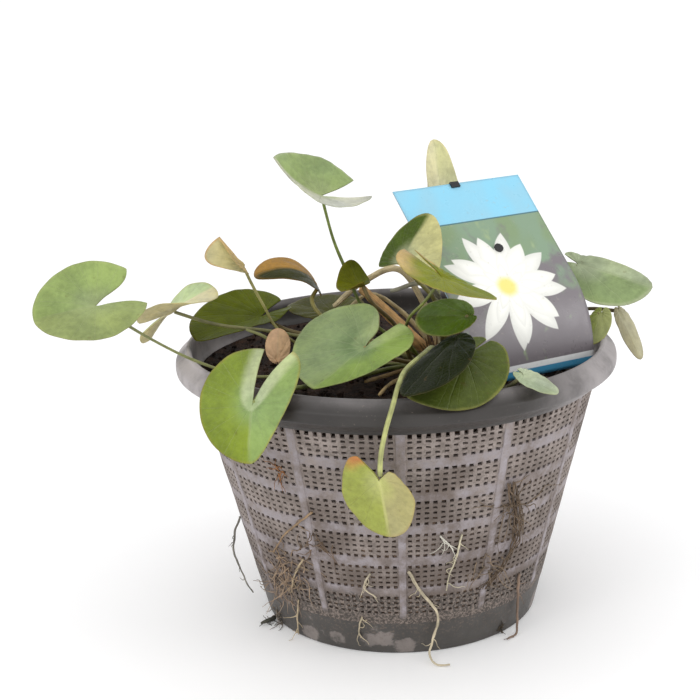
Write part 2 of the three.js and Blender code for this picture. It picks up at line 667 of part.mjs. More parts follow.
function addMesh(name, geometry, color, roughness = 0.6, metalness = 0) {
  const mesh = new THREE.Mesh(geometry, new THREE.MeshStandardMaterial({ color, roughness, metalness }));
  mesh.name = name;
  group.add(mesh);
}

addMesh('basket', basket(), 0x5c5855, 0.7);
addMesh('soil', soil(), 0x2a221d, 0.95);
addMesh('crown', crown(), 0x5b4226, 0.9);
for (const [name, leaf] of Object.entries(LEAVES)) {
  addMesh(name, toGeometry(leafSolid(leaf)), leaf.colour, 0.45);
}
for (const [name, stalk] of Object.entries(STALKS)) {
  addMesh(name, toGeometry(toSolid(rootedTube(stalk, stalk.path, stalk.r))), stalk.colour, 0.85);
}
for (const [name, root] of Object.entries(ROOTS)) {
  addMesh(name, tube(root.path, root.r, ROOT_SIDES, ROOT_STEPS * root.path.length), root.colour, 0.85);
}
addMesh('label_card', labelCard(), 0x8fc4e6, 0.4);
addMesh('label_stake', labelStake(), 0x181818, 0.5);

export default group;
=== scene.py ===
"""A potted water lily plant in a round mesh basket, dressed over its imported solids.

Basket, soil, rootstock, leaves on petioles, old stems, roots through the mesh and a plant
label on a stake. Tables are in millimetres and degrees; meshes and materials are in metres.
"""
import math
from functools import cached_property

import bpy
import numpy as np
from mathutils import Matrix, Vector


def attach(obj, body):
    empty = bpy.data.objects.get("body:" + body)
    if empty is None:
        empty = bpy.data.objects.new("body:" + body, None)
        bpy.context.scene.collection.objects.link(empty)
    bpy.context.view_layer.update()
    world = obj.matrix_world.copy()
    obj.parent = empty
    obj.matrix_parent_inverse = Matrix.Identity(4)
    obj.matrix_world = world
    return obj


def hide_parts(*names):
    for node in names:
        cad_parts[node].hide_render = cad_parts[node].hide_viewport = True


bl_info = {
    "name": "Potted water lily plant",
    "version": (1, 0, 0),
    "blender": (4, 5, 0),
    "location": "3D View > Sidebar > Lily plant",
    "description": "Builds a water lily plant in its mesh basket, with roots and a plant label",
    "category": "Add Mesh",
}

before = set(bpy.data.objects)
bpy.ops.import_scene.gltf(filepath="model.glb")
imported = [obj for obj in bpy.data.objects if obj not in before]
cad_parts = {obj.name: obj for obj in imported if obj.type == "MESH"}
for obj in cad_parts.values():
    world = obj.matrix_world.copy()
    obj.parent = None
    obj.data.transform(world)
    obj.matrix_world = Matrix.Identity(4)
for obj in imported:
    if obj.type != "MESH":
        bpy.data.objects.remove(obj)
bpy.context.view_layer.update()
MM = 0.001
UP = (0.0, 0.0, 1.0)

# Basket, on the same cone as the solid: (radius, height) round the lip and the foot band.
BASE_R, WALL_TOP_R, WALL_TOP_Z = 69.2, 100.6, 124.6
RIM = [
    (100.9, 122.3), (102.2, 122.6), (103.2, 124.2), (109.0, 128.2), (110.0, 129.2), (110.0, 133.2),
    (109.3, 134.6), (105.0, 138.0), (104.5, 139.8), (103.4, 140.0), (102.6, 139.6), (101.5, 137.6),
    (101.5, 128.2), (98.9, 124.8), (98.8, 122.0),
]
FOOT = [
    (64.0, 0.9), (64.8, 0.0), (68.4, 0.0), (69.3, 0.6),
    *((69.2 + z / 4, z) for z in range(2, 19, 2)),
    (73.3, 18.9), (72.3, 18.9), (68.0, 2.9), (64.0, 2.9),
]
# Mesh: bands of rows of holes, the first row's height and the steps down from it. Then the
# heights of whole rings of the wall, and of the bars above and below a band's first row.
RIBS, RIB_TURN, COLUMN_TURN = 12, -91.0, 2.5
BANDS, ROWS, ROW_TOP, ROW_STEP, BAND_STEP = 6, 5, 120.7, 2.85, 17.6
HOLE_TALL, END_HOLE_TALL, FIRST_HOLE_TALL = 1.15, 1.6, 2.4
WHOLE_LEVELS, BAR_LEVELS = (17.6, 19.6, 20.4, 123.6), (0.8, -12.2)
# Floor plate: its slots lie between two of the rings.
FLOOR_Z, FLOOR_THICK, FLOOR_SLOTS, SLOT_HALF = 2.6, 1.9, 8, 4.0
FLOOR_RINGS = (1.5, 12.0, 21.0, 30.0, 39.0, 48.0, 56.0, 61.0, 66.5)
SLOT_RINGS = (3, 6)
# Pale dried patches on the foot band: azimuth, height, half width in degrees, half height.
PATCHES = (
    (-118.5, 6.0, 3.4, 4.0), (-104.6, 7.0, 3.6, 4.8), (-98.4, 8.6, 3.4, 4.2), (-90.8, 4.8, 4.4, 4.6),
    (-132.0, 5.0, 5.0, 4.0), (-20.0, 6.0, 5.0, 5.0), (35.0, 6.5, 6.0, 4.8), (48.0, 4.0, 4.0, 3.6),
    (88.0, 7.0, 4.0, 4.4), (96.0, 5.0, 4.0, 5.0), (150.0, 6.0, 5.0, 5.0), (170.0, 7.0, 4.0, 5.5),
)

# Soil, and the rootstock with the three rings round it on which the petioles come up.
SOIL_Z, SOIL_R, CRUMBS_R, SOIL_BASE_R, SOIL_BASE_Z = 126.0, 98.9, 97.0, 66.0, 3.2
CROWN_X, CROWN_Y = 20.0, -8.0
RINGS = (8.2, 12.6, 17.2)

# Each leaf. Shape: apex is where its petiole meets the blade and tip the far end of the midrib;
# a pair is left half, right half, looking from apex to tip, and a single number is both; width and
# lobe are shares of the midrib's length, sinus is the half notch (15 where none is given), and
# `turned` says that its coloured face is the lower one. blade_surface tells what the rest do.
# Petiole: root is its ring and azimuth round the rootstock, and stem its points from there.
# Look: screen colours of the two halves, of what is near the apex, and of margin, underside,
# veins, notch edges (pale; partly a pale folded margin, partly a painted sheen) and stalk; shares
# of veins, margin, midrib, notch and burnt lobes; roughness added, shine, and the petiole's radius
# as a share of the usual one (slim).
LEAVES = {
    "pad_far_left": dict(
        apex=(-137, -72, 179), tip=(-164, -80, 175), roll=-35, width=(0.8, 0.85), lobe=(0.85, 0.92),
        sinus=(17, 40), fold=(5, 10), bow=(7, 12), round=0.02, wave=0.9, root=(2, 211),
        stem=((-20, -24, 132), (-70, -42, 134), (-93, -52, 144.5), (-115, -62, 160)), left=0x8E9C64,
        right=0x8CA062, near=0x88966C, margin=0xA0AA70, stalk=0x92965C, slim=0.7),
    "pad_folded_left": dict(
        apex=(-109, -20, 162), tip=(-89, -8, 171), roll=-26, twist=40, width=0.85, lobe=0.9, root=(1, 168),
        stem=((-20, -3, 136), (-60, -9, 147), (-88, -14, 153)), left=0xB2C492, right=0xCAC49E, near=0xCCC69C,
        under=0xC6BC92, stalk=0x8C8A58, slim=0.8),
    # pad_high's grey-white left half is a painted sheen, given as that half's colour.
    "pad_high": dict(
        apex=(-34, -20, 217), tip=(-56, -24, 236), bend=-40, width=(0.75, 0.85), lobe=(0.85, 0.75),
        sinus=(12, 32), fold=(-3, 40), bow=(8, 0), round=0.02, wave=0.8, root=(0, 150),
        stem=((-12, -3, 150), (-25, -6, 180.5), (-29, -10, 192.5), (-32, -15, 206)), left=0xBEC0B6,
        right=0x8A9E6A, near=0x96A678, margin=0xB0B69A, under=0xB0B29C, stalk=0x86964E, slim=0.75),
    "pad_over_rim": dict(
        apex=(-67, -97, 137), tip=(-69, -104, 112), bend=30, width=(0.42, 0.86), lobe=(1.4, 1.2),
        sinus=(14, 1), fan=(-0.5, 0), round=0.05, root=(2, 225),
        stem=((-20, -40, 132), (-48, -69, 136), (-60, -86, 142.5)), left=0x849C5C, right=0x7A8C2E,
        near=0x7E965C, margin=0x9E8E40, pale=0xC4CCA8, edge=0.45, rib=0.2, notch=0.62, stalk=0x86904C),
    "pad_front": dict(
        apex=(-16.2, -55.3, 150.5), tip=(-40.6, -74, 136.8), roll=-9, bend=-6, width=(0.45, 1.22),
        lobe=(0.7, 0.75), sinus=(6, 16), fan=(-1.1, -0.2), bow=(0, 9), round=(0.12, 0.34), wave=-0.7,
        root=(1, 238), stem=((2, -30, 136), (-10, -44, 143)), left=0x7E964C, right=0x7E9062, near=0x6E8656,
        margin=0x9EAC6E, pale=0xB0BE8A, notch=0.45, stalk=0x907C46),
    "leaf_hanging": dict(
        apex=(-11.4, -113.9, 106.7), tip=(-7.7, -104.7, 75.4), roll=-2, width=(0.71, 0.68), lobe=(0.55, 0.2),
        sinus=(37, 46), corner=(0.05, 0.12), turned=True, root=(0, 262),
        stem=((17, -38, 144), (11, -62, 148), (2, -84, 147), (-2, -102, 145.5), (-5, -115, 140.5),
            (-8.4, -119.6, 131), (-10.8, -118.4, 119)),
        left=0x9CA44E, right=0xAAA474, near=0xB0B470, margin=0xBA7446, under=0x8E9C4C, vein=0xCECE86,
        veins=0.05, edge=0.12, rib=0.6, burn=(0.9, 0.0), stalk=0xBEC27A, slim=1.1),
    "leaf_small_tan": dict(
        apex=(-72.8, -23.7, 184.2), tip=(-83.9, -14.1, 196.8), roll=-77, width=(0.98, 0.53),
        lobe=(0.28, 0.29), sinus=10, fold=(41, 75), fan=(1.1, -0.73), round=0.0, root=(2, 180),
        stem=((-30, -10, 131), (-57, -18, 150), (-64, -20.5, 163.5), (-69, -22, 174.5)), left=0xBAB288,
        right=0xBEB682, margin=0xBE8854, under=0xBCA470, edge=0.5, stalk=0xA09A5C, slim=0.68),
    "leaf_brown_arch": dict(
        apex=(-38, 10, 164), tip=(-69, 0, 173), roll=-15, bend=100, width=0.6, lobe=0.1, sinus=10,
        root=(1, 156), stem=((-18, 4, 138), (-37, 2, 152), (-41, 6, 159)), left=0x2E3000, right=0xAC823C,
        margin=0x96703E, under=0xA68048, vein=0x5A5428, veins=0.03, edge=0.3, shine=0.08, stalk=0xB6AC60),
    "leaf_back_left": dict(
        apex=(-68, 28, 146), tip=(-99, -7, 143), width=(0.35, 0.6), lobe=(0.5, 0.55), fold=(0, 30), wave=1,
        root=(2, 150), stem=((-18, 12, 134), (-55, 24, 139)), left=0x525C02, right=0x545E04, margin=0x64602A,
        under=0x584E24, vein=0x787C4A, veins=0.03, shine=0.08, stalk=0x80703E),
    "leaf_back_dark": dict(
        apex=(-31, 26, 147), tip=(-53, 52, 146), roll=-10, width=(0.45, 0.8), lobe=0.5, root=(1, 130),
        stem=((-6, 12, 132), (-22, 22, 140)), left=0x424404, right=0x3C3E02, margin=0x625626, under=0x403E0E,
        vein=0x5C5A28, veins=0.02, shine=0.05, stalk=0x80703E),
    "leaf_olive_small": dict(
        apex=(-15.6, -18.6, 171.7), tip=(-21.5, -7.4, 181.8), roll=-15, bend=-105, width=(0.94, 0.59),
        lobe=(0.32, 0.1), sinus=(3, 6), round=0.04, point=0.1, root=(1, 190),
        stem=((0, -16, 150), (-12, -20, 164)), left=0x585C00, right=0x4E5400, margin=0x78642A,
        under=0x5E5E1E, vein=0x787C4A, veins=0.04, shine=0.12, stalk=0x78683A),
    "leaf_upright": dict(
        apex=(2.7, -43.2, 187.5), tip=(17.9, -22.8, 206.3), roll=53, bend=-41, width=(0.41, 0.5),
        lobe=(0.64, 1.4), sinus=(60, 52), fold=(-40, 48), root=(0, 330),
        stem=((23, -26, 150), (18, -37, 168), (8, -43, 181)), left=0x405402, right=0xBEBC88, near=0xA0A682,
        margin=0xCEC08E, under=0xC4B884, veins=0.05, edge=0.25, stalk=0x807A40),
    "leaf_yellow": dict(
        apex=(20.5, -67.5, 186.2), tip=(43.8, -79.5, 177.7), roll=9, bend=-20, width=(0.18, 0.39),
        lobe=(1.78, 0.93), sinus=(17, 3), fold=(-5, 5), fan=(0.41, -0.99), root=(0, 205),
        stem=((5, -26, 146), (5.5, -47, 161.5), (13, -65, 175)), left=0x6C7608, right=0x747A0E,
        near=0x787E10, margin=0xCEB07A, under=0xA09042, veins=0.04, edge=0.2, burn=(0.9, 0.9),
        stalk=0x8E984C, slim=0.7),
    "leaf_glossy": dict(
        apex=(32.6, -64.6, 166.7), tip=(8.4, -53.6, 164), roll=-36, width=(0.78, 0.74), lobe=(0.16, 0.08),
        sinus=10, root=(1, 300), stem=((22, -34, 145), (23, -56, 158)), left=0x42580E, right=0x4E642C,
        margin=0x968C5C, under=0x685E32, vein=0x787C4A, veins=0.04, rough=0.22, shine=0.16, stalk=0x827642),
    "leaf_dark": dict(
        apex=(24.4, -81.6, 160.5), tip=(-0.4, -113.6, 144.5), roll=3, width=(0.73, 0.33), lobe=(0.12, 0.08),
        sinus=10, root=(1, 270), stem=((20, -40, 140), (21, -62, 152), (22, -73, 157)), left=0x141C00,
        right=0x0E1600, margin=0x46482C, under=0x544C2E, vein=0x3E422E, veins=0.02, edge=0.2, rough=0.2,
        shine=0.08, stalk=0x78683C),
    "leaf_large_rim": dict(
        apex=(29, -82, 152), tip=(2, -108, 142), roll=-20, width=(0.82, 0.35), lobe=(0.52, 0.5), sinus=3,
        curl=(-24, 0), root=(2, 285), stem=((22, -42, 131), (27, -64, 141)), left=0x485420, right=0x505C28,
        margin=0x8C8A48, under=0x786C3E, vein=0x96A068, veins=0.05, rib=0.3, rough=0.2, shine=0.16,
        stalk=0x887846),
    "leaf_rim_right": dict(
        apex=(55, -87, 144), tip=(69, -96, 137.5), roll=10, width=0.6, lobe=0.3, point=0.08, root=(2, 305),
        stem=((27, -52, 130), (36, -70, 131.5), (48, -82, 137)), left=0xACB8A0, right=0xA0AE90,
        margin=0xB8BEA0, under=0x8C8E68, stalk=0x929064),
    "leaf_back_tall": dict(
        apex=(28, 60, 198), tip=(25, 66, 229), width=(0.33, 0.5), lobe=0.5, point=0.1, root=(1, 80),
        stem=((22, 12, 145), (26, 42, 172)), left=0xD4D0AA, right=0xC6C698, margin=0xD8CCA0, under=0xB0A070,
        stalk=0x8C8E54),
    "leaf_right_large": dict(
        apex=(95, 20, 170), tip=(130, 5, 160), roll=35, width=(0.3, 0.8), lobe=0.3, wave=1, root=(2, 30),
        stem=((50, 14, 136), (80, 22, 152)), left=0xA2AE8C, right=0x829464, margin=0xB6BA9E, under=0x847E58,
        stalk=0x82804E),
    "leaf_right_olive": dict(
        apex=(103, -4, 150), tip=(95.5, -16, 137), width=(0.62, 0.52), lobe=0.2, root=(1, 10),
        stem=((55, 2, 133), (88, 4, 142)), left=0x8A905C, right=0x76803E, margin=0xA29E58, under=0x7E7640,
        stalk=0x7E7642),
    "leaf_right_drooping": dict(
        apex=(114, 10, 147), tip=(124, 0, 124), width=0.5, lobe=0.1, point=0.1, root=(2, 55),
        stem=((60, 26, 135), (98, 20, 146)), left=0xB2AE94, right=0x9C967A, margin=0x968A68, under=0x827254,
        stalk=0x766846),
    "leaf_pink_small": dict(
        apex=(-58, -30, 138), tip=(-57, -25, 153), width=0.72, lobe=0.1, root=(2, 200),
        stem=((-22, -20, 130), (-46, -30, 130.5)), left=0xC6A488, right=0xBC9C7E, margin=0xA48060,
        under=0xB29072, veins=0.05, stalk=0x9C845C),
}
LEAF_COLOURS = {"margin": 0xBAB06E, "under": 0x96825C, "vein": 0xC4CCA0, "pale": 0xCED4B0}
LEAF_SHARES = {"veins": 0.1, "edge": 0.4, "rib": 0.1, "notch": 0.0}

# Old stems and dead stalks: radius, ring and azimuth round the rootstock, colour and points.
STALKS = {
    "rolled_old_leaf": (3.1, (0, 110), 0xFFCC8C, ((8, -6, 142), (-4, -4, 154), (-16, -2, 166))),
    "old_stem_bent": (1.6, (0, 70), 0xE4D2A6, ((14, 4, 158), (2, 4, 174), (-16, 5, 167), (-30, 3, 156))),
    "old_stem_low": (1.1, (2, 90), 0xDECCA0, ((4, 12, 150), (-12, 10, 160), (-26, 9, 150))),
    "grey_stem": (1.3, (0, 30), 0xA8A48E, ((26, -14, 152), (14, -26, 173), (-2, -22, 169))),
    "short_stem_left": (1.0, (2, 240), 0x9E8254, ((-8, -46, 133), (-16, -66, 137))),
    "short_stem_right": (1.0, (2, 256), 0xAE9462, ((0, -48, 132), (-6, -68, 135), (-10, -84, 136))),
    "young_stem": (
        0.9, (2, 189), 0xA0A268, ((-30, -15, 131), (-54, -17, 133.5), (-63, -18, 146), (-73, -18, 151))),
}
# Roots that have grown out through the mesh, and root ends on the floor: radius, colour, points.
ROOTS = {
    "root_left_free": (
        0.6, 0x8C887E, ((-80.5, -21.7, 54.6), (-83.2, -25, 48.5), (-84, -30, 39), (-80.7, -34, 31),
        (-78, -37, 25), (-75, -39, 21))),
    "root_left_floor": (1.3, 0x5C5A50, ((-65.2, -26.7, 1.5), (-68.2, -30.6, 1.6), (-71.7, -33.6, 1.5))),
    "root_left_upper": (
        0.6, 0xA48868, ((-42.7, -79.4, 78.6), (-50.6, -72.9, 70), (-56.6, -65, 62), (-63, -53.6, 48.2))),
    "root_left_middle": (0.5, 0xCCB896, ((-48.4, -66.9, 49.4), (-53.3, -59.3, 37.9), (-55.3, -53.5, 27))),
    "root_left_low": (0.5, 0xD6C2A0, ((-51.8, -55.3, 23.5), (-52.9, -50.8, 12.1), (-52.8, -46.8, 1))),
    "root_front_upper": (0.5, 0xE2D4B8, ((-16.6, -80.4, 47), (-19.4, -77.6, 39), (-13.9, -77.3, 33.3))),
    "root_front_low": (0.5, 0xD8C8AA, ((-20.8, -72.3, 21.6), (-22.9, -69.3, 12.3), (-21.7, -68.9, 8.9))),
    "root_front_long": (
        0.8, 0xDED0B2, ((1.5, -82.4, 48.3), (7.9, -78.9, 35.2), (14.1, -76.2, 25.6), (15, -75, 18.3),
        (12.5, -74.6, 9.7), (10.9, -76.4, 3.2), (13.2, -83.4, 1.1), (19.8, -85, 1.1))),
    "root_white_short": (0.5, 0xF0ECDE, ((16.4, -85.4, 67.2), (22.6, -81.5, 58.2))),
    "root_white_long": (
        0.5, 0xE0D6B8, ((26.5, -83, 66.3), (24.5, -80.5, 56), (20.5, -78.9, 44.1), (19.1, -77.1, 35.6))),
    "root_right_dark": (
        0.9, 0x786450, ((49.8, -79.1, 89.4), (53.3, -70.8, 70.6), (53.8, -66.4, 57.6), (48.4, -66.7, 46.2),
        (37.6, -69.8, 32.9))),
    "root_right_low": (
        0.8, 0x967E6C, ((56.2, -55, 33.2), (55.6, -53.1, 21.6), (55.4, -50, 9), (55, -53.5, 1.6),
        (49.5, -59.4, 1.2))),
}
# Loose tangles of fine root: azimuth, height, how many, length, spread and colour.
TANGLES = {
    "tuft_upper_left": (-127.3, 98.0, 9, 12.0, 1.4, 0xB07A4E),
    "mat_lower_left": (-133.0, 44.0, 34, 22.0, 7.0, 0xBAA086),
    "mat_left_edge": (-143.0, 28.0, 26, 18.0, 7.0, 0xB09A86),
    "knot_floor_left": (-152.0, 4.0, 12, 11.0, 3.0, 0x8C7E6E),
    "hair_front": (-119.0, 62.0, 12, 22.0, 5.0, 0x8C745E),
    "hair_right": (-54.0, 76.0, 22, 24.0, 5.0, 0x8C7862),
    "hair_right_low": (-60.0, 46.0, 16, 20.0, 5.0, 0x96826C),
    "clump_right_low": (-48.0, 4.0, 10, 7.0, 1.4, 0x544838),
    "hair_back": (70.0, 52.0, 22, 24.0, 9.0, 0x968068),
}
# Plant label: the lean goes from the first to the second angle over the bent share of the length.
CARD = {
    "foot": (64.0, -39.0, 128.8), "turn": 30.0, "width": 75.0, "length": 110.0,
    "lean": (-6.0, 47.0), "bent": 0.43, "thick": 0.7,
}


# ------------------------------------------------------------------ geometry
def unit(rows):
    """Each row divided by its own length."""
    return rows / np.maximum(np.linalg.norm(rows, axis=-1, keepdims=True), 1e-12)


def eased(x, low, high):
    """0 below low, 1 above high, and 3q^2 - 2q^3 between, with q the share of the way."""
    q = np.clip((x - low) / (high - low), 0.0, 1.0)
    return q * q * (3.0 - 2.0 * q)


def turned(a, b, angle):
    """Two directions at right angles, turned in their plane: a cos + b sin, and b cos - a sin."""
    return a * np.cos(angle) + b * np.sin(angle), b * np.cos(angle) - a * np.sin(angle)


def polar(r, angle, z):
    """Points (r cos angle, r sin angle, z), with the angle in radians."""
    return np.stack(np.broadcast_arrays(r * np.cos(angle), r * np.sin(angle), z), -1)


def circle(count):
    """That many azimuths, evenly round."""
    return 2 * np.pi * np.arange(count) / count


def lumps(points, size, seed):
    """Smooth random heights from -1 to 1: values at the corners of cubes of that size,
    blended along x, y and z with the eased share of the way through the cube."""
    table = np.random.default_rng(seed).uniform(-1.0, 1.0, (32, 32, 32))
    place = np.asarray(points, float) / size + 400.0
    low = np.floor(place).astype(int)
    share = eased(place - low, 0.0, 1.0)
    total = 0.0
    for corner in np.ndindex(2, 2, 2):
        weight = np.prod(np.where(corner, share, 1.0 - share), axis=-1)
        total = total + weight * table[tuple(np.moveaxis((low + corner) % 32, -1, 0))]
    return total


def lumps3(points, size, seed):
    """Three such heights at each point, from seeds that follow each other."""
    return np.stack([lumps(points, size, seed + axis) for axis in range(3)], -1)


def smooth_path(points, count):
    """A centripetal Catmull-Rom curve through the points, cut at count equal lengths."""
    p = np.array(points, float)
    p = np.vstack([2 * p[0] - p[1], p, 2 * p[-1] - p[-2]])
    legs = np.maximum(np.linalg.norm(np.diff(p, axis=0), axis=1), 1e-6) ** 0.5
    u = np.linspace(0.0, 1.0, 40)[:, None]
    pieces = []
    for a, b, c, d, l0, l1, l2 in zip(p, p[1:], p[2:], p[3:], legs, legs[1:], legs[2:]):
        out = ((b - a) / l0 - (c - a) / (l0 + l1) + (c - b) / l1) * l1
        into = ((c - b) / l1 - (d - b) / (l1 + l2) + (d - c) / l2) * l1
        pieces.append(
            (2 * u**3 - 3 * u**2 + 1) * b + (u**3 - 2 * u**2 + u) * out
            + (3 * u**2 - 2 * u**3) * c + (u**3 - u**2) * into)
    fine = np.vstack(pieces)
    run = np.concatenate([[0.0], np.cumsum(np.linalg.norm(np.diff(fine, axis=0), axis=1))])
    cuts = np.linspace(0.0, run[-1], count)
    return np.stack([np.interp(cuts, run, fine[:, axis]) for axis in range(3)], axis=1)


def grid_faces(rows, columns, wrap=False, ring=False):
    """Quads of a grid whose points are numbered row by row, and their (column, row) shares. wrap
    joins the last column to the first, and ring the last row to the first."""
    tall, wide = rows - (not ring), columns - (not wrap)
    i, j = (part.ravel() for part in np.meshgrid(np.arange(tall), np.arange(wide), indexing="ij"))
    near, far = i * columns, (i + 1) % rows * columns
    beside = (j + 1) % columns
    quads = np.stack([near + j, near + beside, far + beside, far + j], 1)
    u, v = np.stack([j, j + 1, j + 1, j], 1) / wide, np.stack([i, i, i + 1, i + 1], 1) / tall
    return quads, np.stack([u, v], -1)


def cap(pole, ring, v=0.0, flip=False):
    """Triangles that close a ring of point numbers onto the point numbered pole."""
    following = np.roll(ring, -1)
    faces = np.stack([np.full(len(ring), pole), *((following, ring) if flip else (ring, following))], 1)
    return faces, np.broadcast_to([0.0, v], (len(ring), 3, 2))


def shape(points, faces, under=None):
    """A skin: its points, its (corners, uv) blocks of faces, and the value of attribute under."""
    points = np.asarray(points, float).reshape(-1, 3)
    return {"points": points, "faces": faces, "under": np.zeros(len(points)) if under is None else under}


def capped(rings, low, high):
    """A closed skin: rings of points, each joined to the next, and a pole beyond either end."""
    rows, around = rings.shape[:2]
    first, count = np.arange(around), rows * around
    blocks = [
        grid_faces(rows, around, wrap=True), cap(count, first, flip=True),
        cap(count + 1, count - around + first, 1.0)]
    return shape(np.vstack([rings.reshape(-1, 3), low, high]), blocks)


def tube(path, radius, sides=10, ridges=0, depth=0.0, seed=0, rough=0.0):
    """A round rod along a path. Point (i, a) = path[i] + r(i, a) (cos a * side[i] + sin a * over[i]),
    with r = radius (1 + depth cos(ridges a)) + rough * lumps. Both ends close to a pole."""
    ahead = unit(np.gradient(path, axis=0))
    side = unit(np.cross(ahead, np.linalg.svd(ahead, full_matrices=False)[2][-1]))
    angle = circle(sides)
    ring = turned(side[:, None], np.cross(ahead, side)[:, None], angle[None, :, None])[0]
    thick = np.broadcast_to(radius, len(path))[:, None] * (1 + depth * np.cos(ridges * angle))
    if rough:
        thick = thick + rough * lumps(path[:, None] + ring * 2.0, 1.6, seed)
    low, high = path[0] - ahead[0] * thick[0].mean() * 0.5, path[-1] + ahead[-1] * thick[-1].mean() * 0.5
    return capped(path[:, None] + ring * thick[..., None], low, high)


def lathe(profile, around, cuts=2):
    """A closed ring: the profile's corners are cut that many times, and it is turned about Z.
    Point (k, a) = (r[k] cos a, r[k] sin a, z[k])."""
    p = np.array(profile, float)
    for _ in range(cuts):
        q = np.roll(p, -1, axis=0)
        p = np.stack([0.75 * p + 0.25 * q, 0.25 * p + 0.75 * q], 1).reshape(-1, 2)
    points = polar(p[:, :1], circle(around), p[:, 1:])
    return shape(points, [grid_faces(len(p), around, wrap=True, ring=True)])


def make_piece(name, skins, slot, nodes=(), smooth=True, wall=None):
    """One mesh object at the origin from (material, shapes) pairs. It rides on the body, stands
    for the nodes, and gets a wall of that thickness (m) behind its faces where one is given."""
    points, faces, uvs, slots, under, start = [], [], [], [], [], 0
    for number, (_, shapes) in enumerate(skins):
        for part in shapes:
            points.append(part["points"])
            under.append(part["under"])
            for corners, uv in part["faces"]:
                faces.extend((corners + start).tolist())
                uvs.append(uv.reshape(-1, 2))
                slots.append(np.full(len(corners), number))
            start += len(part["points"])
    mesh = bpy.data.meshes.new("lily_" + name)
    mesh.from_pydata((np.concatenate(points) * MM).tolist(), [], faces)
    mesh.uv_layers.new(name="shape").data.foreach_set("uv", np.concatenate(uvs).ravel())
    mesh.attributes.new("under", "FLOAT", "POINT").data.foreach_set("value", np.concatenate(under))
    mesh.polygons.foreach_set("material_index", np.concatenate(slots).astype(np.int32))
    mesh.polygons.foreach_set("use_smooth", np.full(len(faces), smooth))
    for material, _ in skins:
        mesh.materials.append(material)
    mesh.update()
    piece = bpy.data.objects.new(mesh.name, mesh)
    bpy.context.scene.collection.objects.link(piece)
    if wall:
        modifier = piece.modifiers.new("wall", "SOLIDIFY")
        modifier.thickness, modifier.offset, modifier.use_even_offset = wall, -1.0, False
    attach(piece, "root")
    if nodes:
        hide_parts(*nodes)


# ---------------------------------------------------------------- leaf shape
def blade_surface(leaf, s, t):
    """Point of a blade: s from apex 0 to margin 1, t from -1 (right lobe) past 0 (midrib) to 1.

    Each half of the outline is part of an ellipse seen from the apex: reach = s * R(theta),
    theta = t (180 - sinus), less a share `round` at the lobes' ends and a share `point` on both
    sides of the tip, plus a share `corner` beside it, and with the notch edges bowed in by `bow`.
    Widths change along the leaf by `fan`. The halves rise at `fold` and curl on, three waves run
    round the margin, the blade twists and bends along its midrib and rolls about the chord."""
    apex, tip = np.array(leaf["apex"], float), np.array(leaf["tip"], float)
    s, t = np.broadcast_arrays(s, t)
    left = t >= 0

    def pick(key, usual=0):
        pair = leaf.get(key, usual)
        pair = pair if isinstance(pair, tuple) else (pair, pair)
        return np.where(left, pair[0], pair[1])

    chord = np.linalg.norm(tip - apex)
    along = (tip - apex) / chord
    roll, bend, twist = (math.radians(leaf.get(key, 0)) for key in ("roll", "bend", "twist"))
    length = chord * (bend / 2 / math.sin(bend / 2) if bend else 1.0)
    theta = t * (np.pi - np.radians(pick("sinus", 15)))
    theta = theta + np.sign(t) * np.radians(pick("bow")) * 4 * s * (1 - s) * np.abs(t) ** 12
    back = pick("lobe") * length
    long, shift = (length + back) / 2, (length - back) / 2
    wide = long * pick("width")
    a = (np.cos(theta) / long) ** 2 + (np.sin(theta) / wide) ** 2
    b = -2 * shift * np.cos(theta) / long**2
    c = (shift / long) ** 2 - 1
    reach = s * (-b + np.sqrt(b * b - 4 * a * c)) / (2 * a)
    reach = reach * (1 - pick("round", 0.16) * np.clip((np.abs(t) - 0.86) / 0.14, 0, 1) ** 2.5)
    reach = reach * (1 - pick("point") * np.sin(np.pi * np.clip(np.abs(theta) / 1.2, 0, 1)) ** 2)
    reach = reach * (1 + pick("corner") * np.exp(-(((np.abs(theta) - 1.0) / 0.3) ** 2)))
    x = reach * np.cos(theta)
    q = np.abs(reach * np.sin(theta)) * (1 + pick("fan") * (x / length - 0.5))
    fold, curl = np.radians(pick("fold")), np.radians(pick("curl")) / wide
    curl = np.where(np.abs(curl) < 1e-9, 1e-9, curl)
    out = (np.sin(fold + curl * q) - np.sin(fold)) / curl
    rise = (np.cos(fold) - np.cos(fold + curl * q)) / curl + leaf.get("wave", 0) * s**3 * np.sin(3 * theta)
    y, z = turned(np.where(left, out, -out), rise, -twist * x / length)
    k = -bend / length if bend else 1e-9
    forward, up = (1 / k - z) * np.sin(k * x), 1 / k - (1 / k - z) * np.cos(k * x)
    across = unit(np.cross(UP, along))
    rolled, above = turned(across, np.cross(along, across), roll)
    lead, over = turned(along, above, bend / 2)
    return apex + forward[..., None] * lead + y[..., None] * rolled + up[..., None] * over


